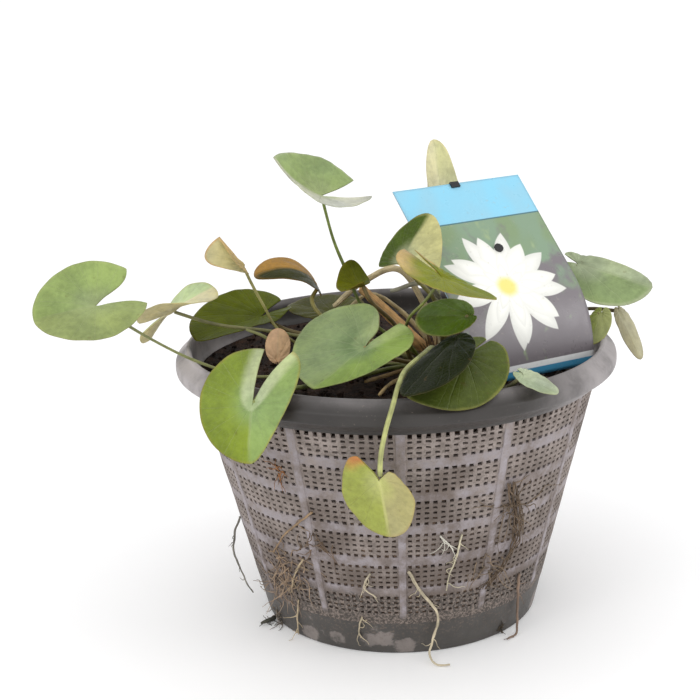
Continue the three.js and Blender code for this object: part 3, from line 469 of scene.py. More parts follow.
def blade(leaf, thickness, seed, rings=26, spokes=96):
    """A closed blade: the surface above moved out and in along its normal by half the thickness,
    which thins towards the margin, both moved together by soft lumps and fine pleats. Its UV is
    (column, row) / count, with the hub at row 0."""
    s = (np.arange(1, rings + 1) / rings)[:, None] ** 0.9
    t = np.linspace(-1.0, 1.0, spokes + 1)[None, :]
    base = blade_surface(leaf, s, t)
    normal = unit(np.cross(np.gradient(base, axis=0), np.gradient(base, axis=1)))
    swell = 0.45 * lumps(base, 14.0, seed) + 0.22 * lumps(base, 6.0, seed + 1)
    pleat = 0.13 * np.cos(13 * np.pi * (t + 1)) * eased(s, 0.15, 0.6)
    dish = -0.9 * (1 - eased(s, 0.0, 0.28))
    middle = base + normal * (eased(s, 0.0, 0.5) * swell * s + pleat + dish)[..., None]
    half = normal * ((thickness / 2) * (1 - 0.62 * s**5))[..., None]
    centre, up = middle[0].mean(axis=0), unit(normal[0].mean(axis=0)) * thickness / 2
    points = [(middle + half).reshape(-1, 3), centre + up, (middle - half).reshape(-1, 3), centre - up]
    columns, hub = spokes + 1, rings * (spokes + 1)
    low = hub + 1
    number = np.arange(hub).reshape(rings, columns)
    quads = grid_faces(rings, columns)[0]
    fan = np.stack([np.full(spokes, hub), number[0, :-1], number[0, 1:]], 1)
    lines = number[-1], np.append(hub, number[:, 0]), np.append(hub, number[:, -1])
    edges = [np.stack([line[:-1], line[:-1] + low, line[1:] + low, line[1:]], 1) for line in lines]
    blocks = []
    for faces in (quads[:, ::-1], fan, quads + low, fan[:, ::-1] + low, *edges):
        row, column = np.divmod(faces % low, columns)
        on_ring = row < rings
        hub_column = (column * on_ring).sum(1, keepdims=True) / on_ring.sum(1, keepdims=True)
        u = np.where(on_ring, column, hub_column)
        blocks.append((faces, np.stack([u / spokes, on_ring * (row + 1) / rings], -1)))
    under = np.repeat((1.0, 0.0) if leaf.get("turned") else (0.0, 1.0), low)
    return shape(np.vstack(points), blocks, under)


def rooted_path(root, points, count):
    """The path of a petiole or old stem from inside the soil, straight up, then through its points."""
    ring, degrees = root
    hole = polar(RINGS[ring], math.radians(degrees), SOIL_Z) + (CROWN_X, CROWN_Y, 0)
    return smooth_path([*(hole + (0, 0, rise) for rise in (-7, -4, 3)), *points], count)


# -------------------------------------------------------------- label shape
def card_face(u, v):
    """Points of the card's face, and the way straight out of it: u from -1 to 1 across, v from 0
    at the foot to 1 at the top. The lean grows evenly over the lower part, so that part is an
    arc, and the rest is straight."""
    turn, low, high = np.radians([CARD["turn"], *CARD["lean"]])
    bent = CARD["bent"] * CARD["length"]
    rate = (high - low) / bent
    run = np.clip(v * CARD["length"], 0.0, bent)
    lean = low + rate * run
    straight = v * CARD["length"] - run
    back = (math.cos(low) - np.cos(lean)) / rate + straight * np.sin(lean)
    up = (np.sin(lean) - math.sin(low)) / rate + straight * np.cos(lean)
    side = u * CARD["width"] / 2
    x = side * math.cos(turn) - back * math.sin(turn)
    y = side * math.sin(turn) + back * math.cos(turn)
    points = np.stack(np.broadcast_arrays(x, y, up), -1) + CARD["foot"]
    return points, np.stack([math.sin(turn) * np.cos(lean), -math.cos(turn) * np.cos(lean), np.sin(lean)], -1)


def card_slab(columns=40, rows=60):
    """The card: the face above, slightly rippled, and a back face one thickness behind it,
    joined round the edge."""
    face, out = card_face(np.linspace(-1, 1, columns)[None, :], np.linspace(0, 1, rows)[:, None])
    near = face + 0.21 * lumps(face, 30.0, 5)[..., None] * out
    far = near - out * CARD["thick"]
    n = columns * rows
    number = np.arange(n).reshape(rows, columns)
    loop = np.concatenate([number[0, :-1], number[:-1, -1], number[-1, :0:-1], number[:0:-1, 0]])
    following = np.roll(loop, -1)
    rim = np.stack([loop, loop + n, following + n, following], 1)
    quads, uv = grid_faces(rows, columns)
    blocks = [(quads, uv), (quads[:, ::-1] + n, uv[:, ::-1]), (rim, np.zeros((len(rim), 4, 2)))]
    return shape(np.stack([near, far]), blocks, np.repeat((0.0, 1.0), n))


# ---------------------------------------------------------------- materials
def tint(code, share=1.0):
    """A screen colour, given as its hex code and darkened to that share, as a linear colour."""
    c = np.array([code >> 16, code >> 8 & 255, code & 255]) * share / 255.0
    return (*np.where(c <= 0.04045, c / 12.92, ((c + 0.055) / 1.055) ** 2.4).tolist(), 1.0)


class Wire:
    """One output of a node. Sums, differences and products of wires add Math nodes."""

    def __init__(self, graph, socket):
        self.graph, self.socket = graph, socket

    def __add__(self, other):
        return self.graph.math("ADD", self, other)

    def __sub__(self, other):
        return self.graph.math("SUBTRACT", self, other)

    def __rsub__(self, other):
        return self.graph.math("SUBTRACT", other, self)

    def __mul__(self, other):
        return self.graph.math("MULTIPLY", self, other)


class Graph:
    """Short calls that add and wire the nodes of one material or node group."""

    def __init__(self, owner):
        self.owner = owner
        self.tree = getattr(owner, "node_tree", owner)

    def feed(self, socket, value):
        if isinstance(value, Wire):
            self.tree.links.new(value.socket, socket)
        else:
            socket.default_value = value

    def put(self, kind, values=(), output=0, **settings):
        """Adds a node, sets it up, feeds its inputs and returns one of its outputs."""
        node = self.tree.nodes.new("ShaderNode" + kind)
        for key, value in settings.items():
            setattr(node, key, value)
        for key, value in dict(values).items():
            self.feed(node.inputs[key], value)
        return Wire(self, node.outputs[output])

    def every(self, wire):
        """All outputs of the node that the wire comes from, by name."""
        return {socket.name: Wire(self, socket) for socket in wire.socket.node.outputs}

    def math(self, operation, *values):
        return self.put("Math", enumerate(values), operation=operation)

    def mix(self, share, first, second, blend="MIX"):
        return self.put("Mix", {0: share, 6: first, 7: second}, 2, data_type="RGBA", blend_type=blend)

    def between(self, value, low, high, start=0.0, end=1.0):
        """start at low and beyond it, end at high and beyond it, eased between."""
        values = enumerate((value, low, high, start, end))
        return self.put("MapRange", values, interpolation_type="SMOOTHSTEP")

    def spread(self, value, start, end):
        """start to end while the value goes from 0.3 to 0.7, as most of a noise does."""
        return self.between(value, 0.3, 0.7, start, end)

    def over(self, face, value, low, high, colour, most=1.0):
        """The colour laid over the face: none of it where the value is at low, most where at high."""
        return self.mix(self.between(value, low, high, 0.0, most), face, colour)

    def noise(self, scale, detail=3.0, rough=0.55, at=None):
        """Noise at a vector, or else at the piece's own coordinates (m)."""
        values = {"Vector": at or self.place, "Scale": scale, "Detail": detail, "Roughness": rough}
        return self.put("TexNoise", values)

    def split(self, vector):
        return list(self.every(self.put("SeparateXYZ", {0: vector})).values())

    @cached_property
    def place(self):
        return self.put("TexCoord", output="Object")

    @cached_property
    def xyz(self):
        return self.split(self.place)

    @cached_property
    def uv(self):
        return self.split(self.put("UVMap", uv_map="shape"))[:2]

    @cached_property
    def under(self):
        return self.put("Attribute", output="Fac", attribute_name="under")

    def join(self, x, y, z):
        return self.put("CombineXYZ", enumerate((x, y, z)))

    def group(self, name, values):
        return self.every(self.put("Group", values, node_tree=bpy.data.node_groups[name]))

    def shaded(self, colour, value, dark, light):
        """The colour times a grey spread from dark to light."""
        grey = self.spread(value, dark, light)
        return self.mix(1.0, colour, self.join(grey, grey, grey), "MULTIPLY")

    def surface(self, colour, roughness, height, distance, strength=0.6):
        """Feeds the material's shader with its colour, roughness and bump, and returns the material."""
        shader = self.tree.nodes["Principled BSDF"].inputs
        self.feed(shader["Base Color"], colour)
        self.feed(shader["Roughness"], roughness)
        bump = self.put("Bump", {"Height": height, "Strength": strength, "Distance": distance})
        self.feed(shader["Normal"], bump)
        return self.owner


def new_group(name, colours, numbers, outputs):
    """An empty node group with colour and number inputs, and a Color and number outputs."""
    tree = bpy.data.node_groups.new(name, "ShaderNodeTree")
    sockets = [("INPUT", "Color", colours), ("INPUT", "Float", numbers), ("OUTPUT", "Color", ["Color"]),
               ("OUTPUT", "Float", outputs)]
    for way, kind, keys in sockets:
        for key in keys:
            tree.interface.new_socket(key, in_out=way, socket_type="NodeSocket" + kind)
    g = Graph(tree)
    given = tree.nodes.new("NodeGroupInput").outputs
    return g, {s.name: Wire(g, s) for s in given}, tree.nodes.new("NodeGroupOutput").inputs


def new_material(name, specular=0.5):
    """The graph of a new material with one Principled shader."""
    material = bpy.data.materials.new(name)
    material.use_nodes = True
    material.node_tree.nodes["Principled BSDF"].inputs["Specular IOR Level"].default_value = specular
    return Graph(material)


def leaf_face_group():
    """Leaf colour on polar UV: veins fan out from the apex and fork half way, halves and margin
    have their own tints, with mottling, a fine net and small brown spots."""
    g, given, result = new_group(
        "leaf_face", ("near", "left", "right", *LEAF_COLOURS), (*LEAF_SHARES, "burn left", "burn right"),
        ("Roughness", "Height"))
    under = g.under
    u, v = g.uv
    blotch, fine = g.noise(55.0), g.noise(420.0, 4.0)
    uneven = blotch - 0.5
    bent = (g.noise(90.0, 2.0) - 0.5) * 0.012 + u
    side = g.mix(g.between(bent, 0.485, 0.515), given["right"], given["left"])
    top = g.mix(g.between(uneven * 0.35 + v, 0.02, 0.55), given["near"], side)

    def rays(count, width, start, full):
        away = g.math("ABSOLUTE", g.math("FRACT", bent * count) - 0.5)
        return g.between(away * v, width, 0.0) * g.between(v, start, full)

    veins = g.math("MAXIMUM", rays(13.0, 0.03, 0.02, 0.12), rays(26.0, 0.04, 0.35, 0.7) * 0.5)
    off = g.math("ABSOLUTE", bent - 0.5) * v
    rib = g.between(off, 0.0065, 0.0) * g.between(v, 0.6, 1.0, 1.0, 0.2)
    # Pale band along the notch edges: partly the leaf's pale folded margin, partly a painted sheen.
    lobe = blotch * 0.03 + g.math("MINIMUM", u, 1.0 - u)
    notch = g.between(lobe * v, 0.05, 0.022) * g.between(v, 0.03, 0.2, 0.5, 1.0)
    ends = g.between(uneven * 0.25 + v, 0.5, 0.9)
    burn_right = g.between(u, 0.17, 0.02) * given["burn right"]
    burn = (burn_right + g.between(u, 0.83, 0.98) * given["burn left"]) * ends
    edge = g.between(uneven * 0.12 + v, 0.93, 0.995) * given["edge"]
    top = g.mix(notch * given["notch"], top, given["pale"])
    top = g.mix(g.math("MAXIMUM", burn, edge), top, given["margin"])
    spoilt = g.mix(0.35, given["under"], given["margin"])
    low = g.mix(g.between(blotch, 0.3, 0.75), given["under"], spoilt)
    face = g.shaded(g.mix(under, top, low), fine * 0.35 + blotch * 0.65, 0.72, 1.2)
    warm = g.between(g.noise(28.0, 2.0), 0.38, 0.66, 0.0, 0.32)
    face = g.mix(warm, face, g.mix(1.0, face, (1.12, 1.04, 0.62, 1.0), "MULTIPLY"))
    lines = g.math("MAXIMUM", (under * 0.25 + given["veins"]) * veins, rib * given["rib"])
    cells = g.put(
        "TexVoronoi", {"Vector": g.place, "Scale": 620.0}, "Distance", feature="DISTANCE_TO_EDGE")
    net = g.between(cells, 0.12, 0.0)
    face = g.mix(net * 0.03, g.mix(lines, face, given["vein"]), given["vein"])
    spots = g.between(g.noise(260.0, 2.0), 0.66, 0.74) * 0.25
    g.feed(result["Color"], g.mix(spots, face, tint(0x604A28)))
    g.feed(result["Roughness"], under * 0.2 + g.spread(fine, -0.04, 0.1))
    g.feed(result["Height"], net * -0.15 + (veins * (under * 1.6 - 0.7) + fine * 0.35))


def leaf_material(name, leaf):
    """A blade's material: what its row in LEAVES leaves out has the usual value."""
    g = new_material(name + "_leaf", leaf.get("shine", 0.2))
    look = {"near": leaf["left"], **LEAF_COLOURS, **LEAF_SHARES, **leaf}
    values = {key: tint(look[key]) for key in ("near", "left", "right", *LEAF_COLOURS)}
    values.update((key, look[key]) for key in LEAF_SHARES)
    values["burn left"], values["burn right"] = leaf.get("burn", (0.0, 0.0))
    face = g.group("leaf_face", values)
    return g.surface(
        face["Color"], face["Roughness"] + leaf.get("rough", 0.36), face["Height"], 0.0005, 0.5)


def fibre_group():
    """Fibres along a stem or root: streaks that are long along the UV's second axis."""
    g, given, result = new_group("fibre", ("light", "dark"), ("fineness",), ("Height",))
    u, v = g.uv
    angle = u * (2 * math.pi)
    ring = g.join(g.math("COSINE", angle), g.math("SINE", angle), v * 1.5)
    streak = g.noise(given["fineness"], 4.0, 0.65, at=ring)
    share = g.between(g.noise(150.0) * 0.6 + streak * 0.6, 0.42, 0.78)
    g.feed(result["Color"], g.mix(share, given["dark"], given["light"]))
    g.feed(result["Height"], streak)


def fibre_material(name, light, dark, fineness, roughness, distance=0.0003):
    """Stem, stalk, root or rootstock, streaked lengthwise between two colours."""
    g = new_material(name)
    face = g.group("fibre", {"light": light, "dark": dark, "fineness": fineness})
    return g.surface(face["Color"], roughness, face["Height"], distance)


def mesh_material(silt):
    """The moulded mesh: grey ribs and bars (attribute under), brown-grey strands between the
    holes, dark dirt in blotches, and a dark clogged zone at the foot of the wall."""
    g = new_material("basket_mesh", 0.3)
    z = g.xyz[2]
    wide, mid = g.noise(34.0, 5.0, 0.6), g.noise(160.0, 4.0, 0.6)
    speck = g.noise(850.0, 3.0, 0.75)
    face = g.mix(g.between(mid * 0.5 + speck * 0.5, 0.38, 0.62), tint(0x746A64), silt)
    face = g.over(face, z * -2.2 + (wide + mid * 0.5), 0.46, 0.74, tint(0x544840), 0.72)
    face = g.over(face, speck, 0.56, 0.68, tint(0x342C28), 0.55)
    clogged = g.mix(g.between(speck, 0.42, 0.62), tint(0x48423E), tint(0x867A72))
    face = g.over(face, (mid - 0.5) * 0.012 + z, 0.0355, 0.0315, clogged)
    rib = g.mix(g.between(mid * 0.6 + wide * 0.5, 0.42, 0.72), tint(0xA49DA2), tint(0x786C66))
    face = g.mix(g.under * g.between(mid + speck, 0.75, 1.25, 0.95, 0.45), face, rib)
    return g.surface(face, g.spread(speck, 0.55, 0.85), speck * 0.5 + mid, 0.0006, 0.7)


def rim_material(base):
    """Dark satin plastic with fine scuffs, and a pale chalky film, partly dust and partly painted sheen, on
    the two sides of the lip, where light glances off them, and faintly along its top.
    """
    g = new_material("basket_rim", 0.32)
    x, _, z = g.xyz
    wide, speck = g.noise(45.0, 4.0, 0.6), g.noise(520.0, 4.0, 0.7)
    # The lip's left and right ends (by x) are made paler: painted sheen of glancing light, mixed with dust.
    sides = g.math("MAXIMUM", g.between(x, -0.068, -0.1), g.between(x, 0.05, 0.1, 0.0, 0.7))
    film = g.math("MAXIMUM", sides, g.between(z, 0.1345, 0.139) * 0.22)
    film = film * g.between(speck * 0.3 + wide, 0.42, 0.72, 0.55, 1.0)
    face = g.over(g.mix(film, base, tint(0xB0AAAA)), speck, 0.64, 0.72, tint(0x847A70), 0.45)
    rough = film * 0.3 + g.spread(speck, 0.32, 0.46)
    return g.surface(g.shaded(face, wide, 0.86, 1.12), rough, speck * 0.4 + wide, 0.0003)


def foot_material():
    """Dark plastic with brown specks, and pale dried patches where attribute under says."""
    g = new_material("basket_foot", 0.4)
    wide, ragged = g.noise(60.0, 4.0, 0.6), g.noise(190.0, 5.0, 0.65)
    speck = g.noise(700.0, 3.0, 0.7)
    patch = g.under + (wide + ragged - 1.0) * 2.6
    face = g.mix(g.between(patch, 0.35, 0.95, 0.0, 0.55), tint(0x484542), tint(0x988E89))
    spots = g.between(speck, 0.5, 0.64) * g.between(g.xyz[2], 0.004, 0.016, 0.15, 0.75)
    face = g.shaded(g.mix(spots, face, tint(0x685C54)), wide, 0.84, 1.12)
    return g.surface(face, g.spread(speck, 0.4, 0.62), speck * 0.5 + wide, 0.0003)


def soil_material(colour):
    """Damp dark soil with brown crumbs and near-black specks of painted shade for the gaps between them,
    drier where it shows low in the mesh.
    """
    g = new_material("damp_soil", 0.25)
    grain, clod = g.noise(700.0, 5.0, 0.7), g.noise(130.0, 4.0, 0.6)
    face = g.over(colour, clod, 0.35, 0.7, tint(0x463226))
    face = g.over(face, grain, 0.56, 0.74, tint(0x684C38))
    # Painted shade: near-black where the fine grain is low, standing for the shaded gaps between crumbs.
    face = g.over(face, grain, 0.48, 0.3, tint(0x0E0B0A))
    dry = g.mix(g.between(grain, 0.4, 0.62), tint(0x342A24), tint(0x7A6656))
    side = g.between(g.xyz[2], 0.12, 0.085) * g.between(clod, 0.35, 0.6)
    return g.surface(g.mix(side, face, dry), 0.85, grain + clod, 0.0015, 0.9)


def stake_material():
    """Black plastic with a little dried silt: blotches, specks and streaks that run down."""
    g = new_material("black_stake")
    x, y, z = g.xyz
    wide, speck = g.noise(38.0, 5.0, 0.62), g.noise(480.0, 4.0, 0.7)
    streak = g.noise(210.0, at=g.join(x, y, z * 0.12))
    cover = g.between(streak * 0.2 + (speck * 0.45 + wide), 0.8, 1.2)
    face = g.mix(cover * 0.85, tint(0x1A1A1C), tint(0x5A5650))
    face = g.shaded(face, wide * 0.6 + speck * 0.4, 0.84, 1.14)
    rough = cover * 0.3 + g.spread(speck, 0.34, 0.5)
    return g.surface(face, rough, cover * 0.5 + speck * 0.5, 0.0002)


def label_material(header, panel):
    """The printed face in card shares: a blue head, a pond-coloured picture with one white
    many-petalled bloom worked out from angle and distance, and a white and a blue foot strip."""
    g = new_material("printed_card")
    u, v = g.uv
    soft, murk = g.noise(3.2, 2.0, at=g.join(u, v, 0.3)), g.noise(7.0, at=g.join(u, v, 2.7))
    picture = g.over(panel, soft, 0.42, 0.6, tint(0x809670))
    picture = g.mix(g.between(v * 0.8 + murk, 0.75, 1.0), tint(0x7A7478), picture)
    picture = g.over(picture, murk, 0.6, 0.72, tint(0x96AA82))

    def bloom(size, petals, turn, slim):
        """How far inside a petalled outline of that size (mm), and the distance from its centre."""
        x, y = (u - 0.46) * (CARD["width"] / size), (v - 0.42) * (CARD["length"] / size)
        far = g.math("SQRT", x * x + y * y)
        angle = (g.math("ARCTAN2", y, x) + turn) * petals
        off = g.math("ARCCOSINE", g.math("COSINE", angle)) * (1 / math.pi)
        return g.math("POWER", 1.0 - off, slim) * 0.66 + 0.34 - far, far

    for *outline, light in (
        (33, 9, 0.2, 0.72, 0.9), (30, 8, 0.72, 0.66, 0.97), (22, 9, 0.1, 0.7, 1.0), (14, 7, 0.4, 0.8, 1.0)
    ):
        inside = bloom(*outline)[0]
        tone = g.between(inside, 0.0, 0.3, 0.86, 1.0) * light
        petal = g.mix(1.0, tint(0xFAFAF4), g.join(tone, tone, tone * 0.99), "MULTIPLY")
        picture = g.over(picture, inside, -0.015, 0.02, petal)
    heart = g.between(bloom(7.5, 8, 0.0, 1.0)[1], 1.0, 0.4)
    picture = g.mix(heart, picture, tint(0xECE284))
    head = g.over(header, soft, 0.3, 0.7, tint(0x88CEEA))
    face = g.over(picture, v, 0.778, 0.782, tint(0x466E78))
    face = g.over(face, v, 0.785, 0.789, head)
    foot = g.mix(g.between(v, 0.036, 0.04), tint(0x4696BE), tint(0xEEF0F0))
    face = g.over(foot, v, 0.062, 0.066, face)
    face = g.over(face, g.noise(300.0), 0.62, 0.75, tint(0xAAA596), 0.25)
    rough = g.spread(g.noise(120.0), 0.26, 0.4)
    return g.surface(
        g.mix(g.under, face, tint(0xE2E4E2)), rough, g.noise(90.0, 2.0), 0.0004, 0.3)


# ---------------------------------------------------------------- settings
def length_setting(name, description, default):
    return bpy.props.FloatProperty(name=name, description=description, default=default, unit="LENGTH")


def strength_setting(name, description, default):
    return bpy.props.FloatProperty(name=name, description=description, default=default, min=0, max=10)


def colour_setting(name, description, default):
    return bpy.props.FloatVectorProperty(
        name=name, description=description, default=tint(default), subtype="COLOR", size=4, min=0, max=1)


class LilyBasketSizes(bpy.types.PropertyGroup):
    """Sizes and colours of the mesh basket."""

    wall: length_setting("Wall thickness", "Thickness of the moulded mesh", 1.5 * MM)
    hole: length_setting("Hole width", "Width of a mesh hole at the top row", 2.35 * MM)
    rib: length_setting("Rib height", "How far the upright ribs stand out of the mesh", 0.6 * MM)
    plastic: colour_setting("Plastic", "Colour of the bare plastic", 0x3A3735)
    silt: colour_setting("Silt", "Colour of the dried silt on the mesh", 0xA69A94)


class LilyPlantSizes(bpy.types.PropertyGroup):
    """Sizes and colours of the plant and its soil."""

    blade: length_setting("Leaf thickness", "Thickness of a leaf near its petiole", 0.8 * MM)
    petiole: length_setting("Petiole radius", "Radius of a leaf's stalk", 1.15 * MM)
    crumbs: bpy.props.IntProperty(
        name="Soil crumbs", description="Number of loose crumbs on the soil", default=900, min=0, max=3000)
    soil: colour_setting("Soil", "Colour of the damp soil", 0x281F1B)


class LilyLabelSizes(bpy.types.PropertyGroup):
    """Colours of the plant label."""

    header: colour_setting("Header", "Colour of the card's head strip", 0x92C8DE)
    panel: colour_setting("Picture ground", "Colour behind the bloom", 0x829A80)


class LilyStageSizes(bpy.types.PropertyGroup):
    """The floor and the light."""

    floor: length_setting("Floor size", "Side of the pale floor", 16.0)
    sky: strength_setting("Surrounding light", "Strength of the even white light", 0.97)
    sun: strength_setting("Window light", "Strength of the broad light from the upper left", 0.38)


# ------------------------------------------------------------------- basket
def wall_radius(z):
    """Outer radius of the sloping wall at height z."""
    return BASE_R + (WALL_TOP_R - BASE_R) * z / WALL_TOP_Z


def mesh_wall(hole, rise):
    """The mesh: a cone grid whose lines run along the edges of the holes, without the hole cells.
    Radius = cone + rise on a rib + soft lumps. A column that falls on a rib has no holes, and
    neither has the last row. Attribute under is 1 on the ribs and 0.8 on the bars between bands."""
    ribs = RIB_TURN + 360.0 / RIBS * np.arange(RIBS)
    columns = (RIB_TURN + np.arange(0, 360, COLUMN_TURN)).reshape(RIBS, -1)[:, 1:].ravel()
    half = math.degrees(hole / 2 / WALL_TOP_R)
    beside_rib = (-1.36, -1.1, 0.0, 1.1, 1.36)
    lines = np.sort(np.append(np.add.outer(columns, (-half, half)), np.add.outer(ribs, beside_rib)))
    tops = ROW_TOP - BAND_STEP * np.arange(BANDS)
    middle = np.subtract.outer(tops, ROW_STEP * np.arange(ROWS)).ravel()[:-1]
    tall = np.full((BANDS, ROWS), HOLE_TALL)
    tall[:, [0, -1]], tall[0, 0] = END_HOLE_TALL, FIRST_HOLE_TALL
    tall = tall.ravel()[:-1]
    levels = np.sort(np.concatenate([WHOLE_LEVELS, middle - tall / 2, middle + tall / 2]))
    z = levels[:, None]
    off = (lines[None, :] - RIB_TURN + 15.0) % 30.0 - 15.0
    rib = eased(-np.abs(off), -1.3, -1.05) * eased(z, 19.6, 23.5) * (rise > 0)
    bar_z = np.add.outer(tops, BAR_LEVELS).ravel()
    bar = 1.0 - eased(np.abs(z - bar_z).min(axis=1, keepdims=True), 0.1, 0.9)
    bar = np.where((z > 118) | (z < 34), 0.0, bar)
    flat = np.stack(np.broadcast_arrays(lines[None, :] * 1.6, z, 0.0), -1)
    r = wall_radius(z) + rise * rib + 0.15 * lumps(flat, 8.0, 3)
    angle = np.radians(lines[None, :] + 0.2 * lumps(flat, 1.7, 4) * (1 - rib))
    z = z + 0.22 * lumps(flat, 1.6, 5) * (1 - rib) * eased(z, 18, 24) * eased(-z, -122.4, -121)
    quads, uv = grid_faces(len(levels), len(lines), wrap=True)
    mid_line = (lines + np.append(lines[1:], lines[0] + 360.0)) / 2
    in_column = np.abs((mid_line[:, None] - columns + 180) % 360 - 180).min(axis=1) < half * 0.5
    in_row = np.abs((levels[1:] + levels[:-1])[:, None] / 2 - middle).min(axis=1) < 0.4
    whole = ~(in_row[:, None] & in_column).ravel()
    return shape(polar(r, angle, z), [(quads[whole], uv[whole])], np.maximum(rib, 0.8 * bar).ravel())


def dried_patches(points):
    """Near 1 inside a patch and 0 outside, from 1 - (d angle / half width)^2 - |d z / half height|^3."""
    angle = np.degrees(np.arctan2(points[:, 1], points[:, 0]))
    mask = np.zeros(len(points))
    for turn, z, wide, tall in PATCHES:
        off = (angle - turn + 180) % 360 - 180
        inside = 1 - (off / wide) ** 2 - np.abs((points[:, 2] - z) / tall) ** 3
        mask = np.maximum(mask, eased(inside, -0.8, 0.9))
    return mask


def floor_plate():
    """A flat polar grid with eight slots left out of it, to be thickened downwards."""
    slots = 360.0 / FLOOR_SLOTS * np.arange(FLOOR_SLOTS)
    lines = np.sort(np.add.outer(slots, (-SLOT_HALF, SLOT_HALF, 10.0, 16.0, 22.5, 29.0, 35.0)).ravel())
    grid = polar(np.array(FLOOR_RINGS)[:, None], np.radians(lines), FLOOR_Z)
    quads, uv = grid_faces(*grid.shape[:2], wrap=True)
    ring, line = np.divmod(np.arange(len(quads)), len(lines))
    in_slot = np.abs((lines[line] + SLOT_HALF) % (360.0 / FLOOR_SLOTS)) < 0.1
    whole = ~((ring >= SLOT_RINGS[0]) & (ring < SLOT_RINGS[1]) & in_slot)
    blocks = [(quads[whole][:, ::-1], uv[whole][:, ::-1]), cap(grid[..., 0].size, np.arange(len(lines)))]
    return shape(np.vstack([grid.reshape(-1, 3), (0, 0, FLOOR_Z)]), blocks)


class LILY_OT_basket(bpy.types.Operator):
    """Build the basket: rim, mesh wall with its ribs, foot band and slotted floor"""

    bl_idname = "lily.basket"
    bl_label = "Mesh basket"

    def execute(self, context):
        sizes = context.scene.lily_basket
        foot = foot_material()
        band = lathe(FOOT, 300, 1)
        band["under"] = dried_patches(band["points"])
        wall = mesh_wall(sizes.hole / MM, sizes.rib / MM)
        for name, material, part, options in (
            ("basket_rim", rim_material(tuple(sizes.plastic)), lathe(RIM, 240), {}),
            ("basket_mesh", mesh_material(tuple(sizes.silt)), wall, {"smooth": False, "wall": sizes.wall}),
            ("basket_foot", foot, band, {}),
            ("basket_floor", foot, floor_plate(), {"smooth": False, "wall": FLOOR_THICK * MM}),
        ):
            make_piece(name, [(material, [part])], "basket_plastic", ("basket",), **options)
        return {"FINISHED"}


# --------------------------------------------------------------------- soil
def soil_body():
    """One closed turned shape: flat below, a side just inside the mesh whose lumps fill some
    of the holes, and a top at the soil's level with clods. Height of the top = level + lumps."""
    angle = circle(260)[None, :]
    z = np.linspace(3.4, SOIL_Z, 74)[:, None]
    inner = np.minimum(wall_radius(z), SOIL_R) - 1.85
    where = polar(inner, angle, z)
    fill = lumps(where, 9.0, 11) + 0.8 * lumps(where, 2.4, 12) + 1.5 * eased(-z, -118, -25)
    r = inner + (1.55 * eased(fill, 0.45, 1.1) - 0.25) * eased(-z, -119, -112)
    shares = np.linspace(1.0, 0.02, 66)[:, None]
    top = polar(SOIL_R * shares, angle, SOIL_Z)
    height = 1.5 * lumps(top, 11.0, 21) + 0.9 * lumps(top, 4.0, 22) + 0.45 * lumps(top, 1.9, 23)
    mound = 2.0 * np.exp(-((top[..., 0] - CROWN_X) ** 2 + (top[..., 1] - CROWN_Y) ** 2) / 1400.0)
    top[..., 2] += (height + mound) * eased(1.0 - shares, -0.01, 0.03)
    rings = np.concatenate([polar(SOIL_BASE_R, angle, SOIL_BASE_Z), polar(r, angle, z), top])
    return capped(rings, (0, 0, SOIL_BASE_Z), (0, 0, top[-1, :, 2].mean()))


def ball():
    """The 12 corners and 20 faces of an icosahedron of radius 1."""
    g = (1 + 5**0.5) / 2
    corners = np.array([
        (-1, g, 0), (1, g, 0), (-1, -g, 0), (1, -g, 0), (0, -1, g), (0, 1, g), (0, -1, -g), (0, 1, -g),
        (g, 0, -1), (g, 0, 1), (-g, 0, -1), (-g, 0, 1)], float) / math.sqrt(1 + g * g)
    faces = np.array([
        (0, 11, 5), (0, 5, 1), (0, 1, 7), (0, 7, 10), (0, 10, 11), (1, 5, 9), (5, 11, 4), (11, 10, 2),
        (10, 7, 6), (7, 1, 8), (3, 9, 4), (3, 4, 2), (3, 2, 6), (3, 6, 8), (3, 8, 9), (4, 9, 5), (2, 4, 11),
        (6, 2, 10), (8, 6, 7), (9, 8, 1)])
    return corners, faces


def crumbs(places, sizes, seed):
    """Lumps: each is a ball whose corners are moved at random by a third, squashed and scaled."""
    rng = np.random.default_rng(seed)
    corners, faces = ball()
    count = len(places)
    moved = corners[None] * rng.uniform(0.62, 1.25, (count, 12, 1)) * rng.uniform(0.6, 1.2, (count, 1, 3))
    points = places[:, None] + moved * sizes[:, None, None]
    blocks = (faces[None] + 12 * np.arange(count)[:, None, None]).reshape(-1, 3)
    return shape(points, [(blocks, np.zeros((len(blocks), 3, 2)))])


class LILY_OT_soil(bpy.types.Operator):
    """Build the damp soil inside the basket, with loose crumbs on it"""

    bl_idname = "lily.soil"
    bl_label = "Soil"

    def execute(self, context):
        plant = context.scene.lily_plant
        rng = np.random.default_rng(7)
        r = CRUMBS_R * np.sqrt(rng.uniform(0, 1, plant.crumbs))
        angle = rng.uniform(0, 2 * np.pi, plant.crumbs)
        size = rng.uniform(0.5, 1.5, plant.crumbs) ** 1.6
        loose = crumbs(polar(r, angle, SOIL_Z + 0.6 + 0.6 * size), size, 8)
        earth = soil_material(tuple(plant.soil))
        make_piece("soil", [(earth, [soil_body()])], "soil", ("soil",))
        make_piece("soil_crumbs", [(earth, [loose])], "soil", ("soil",), smooth=False)
        return {"FINISHED"}


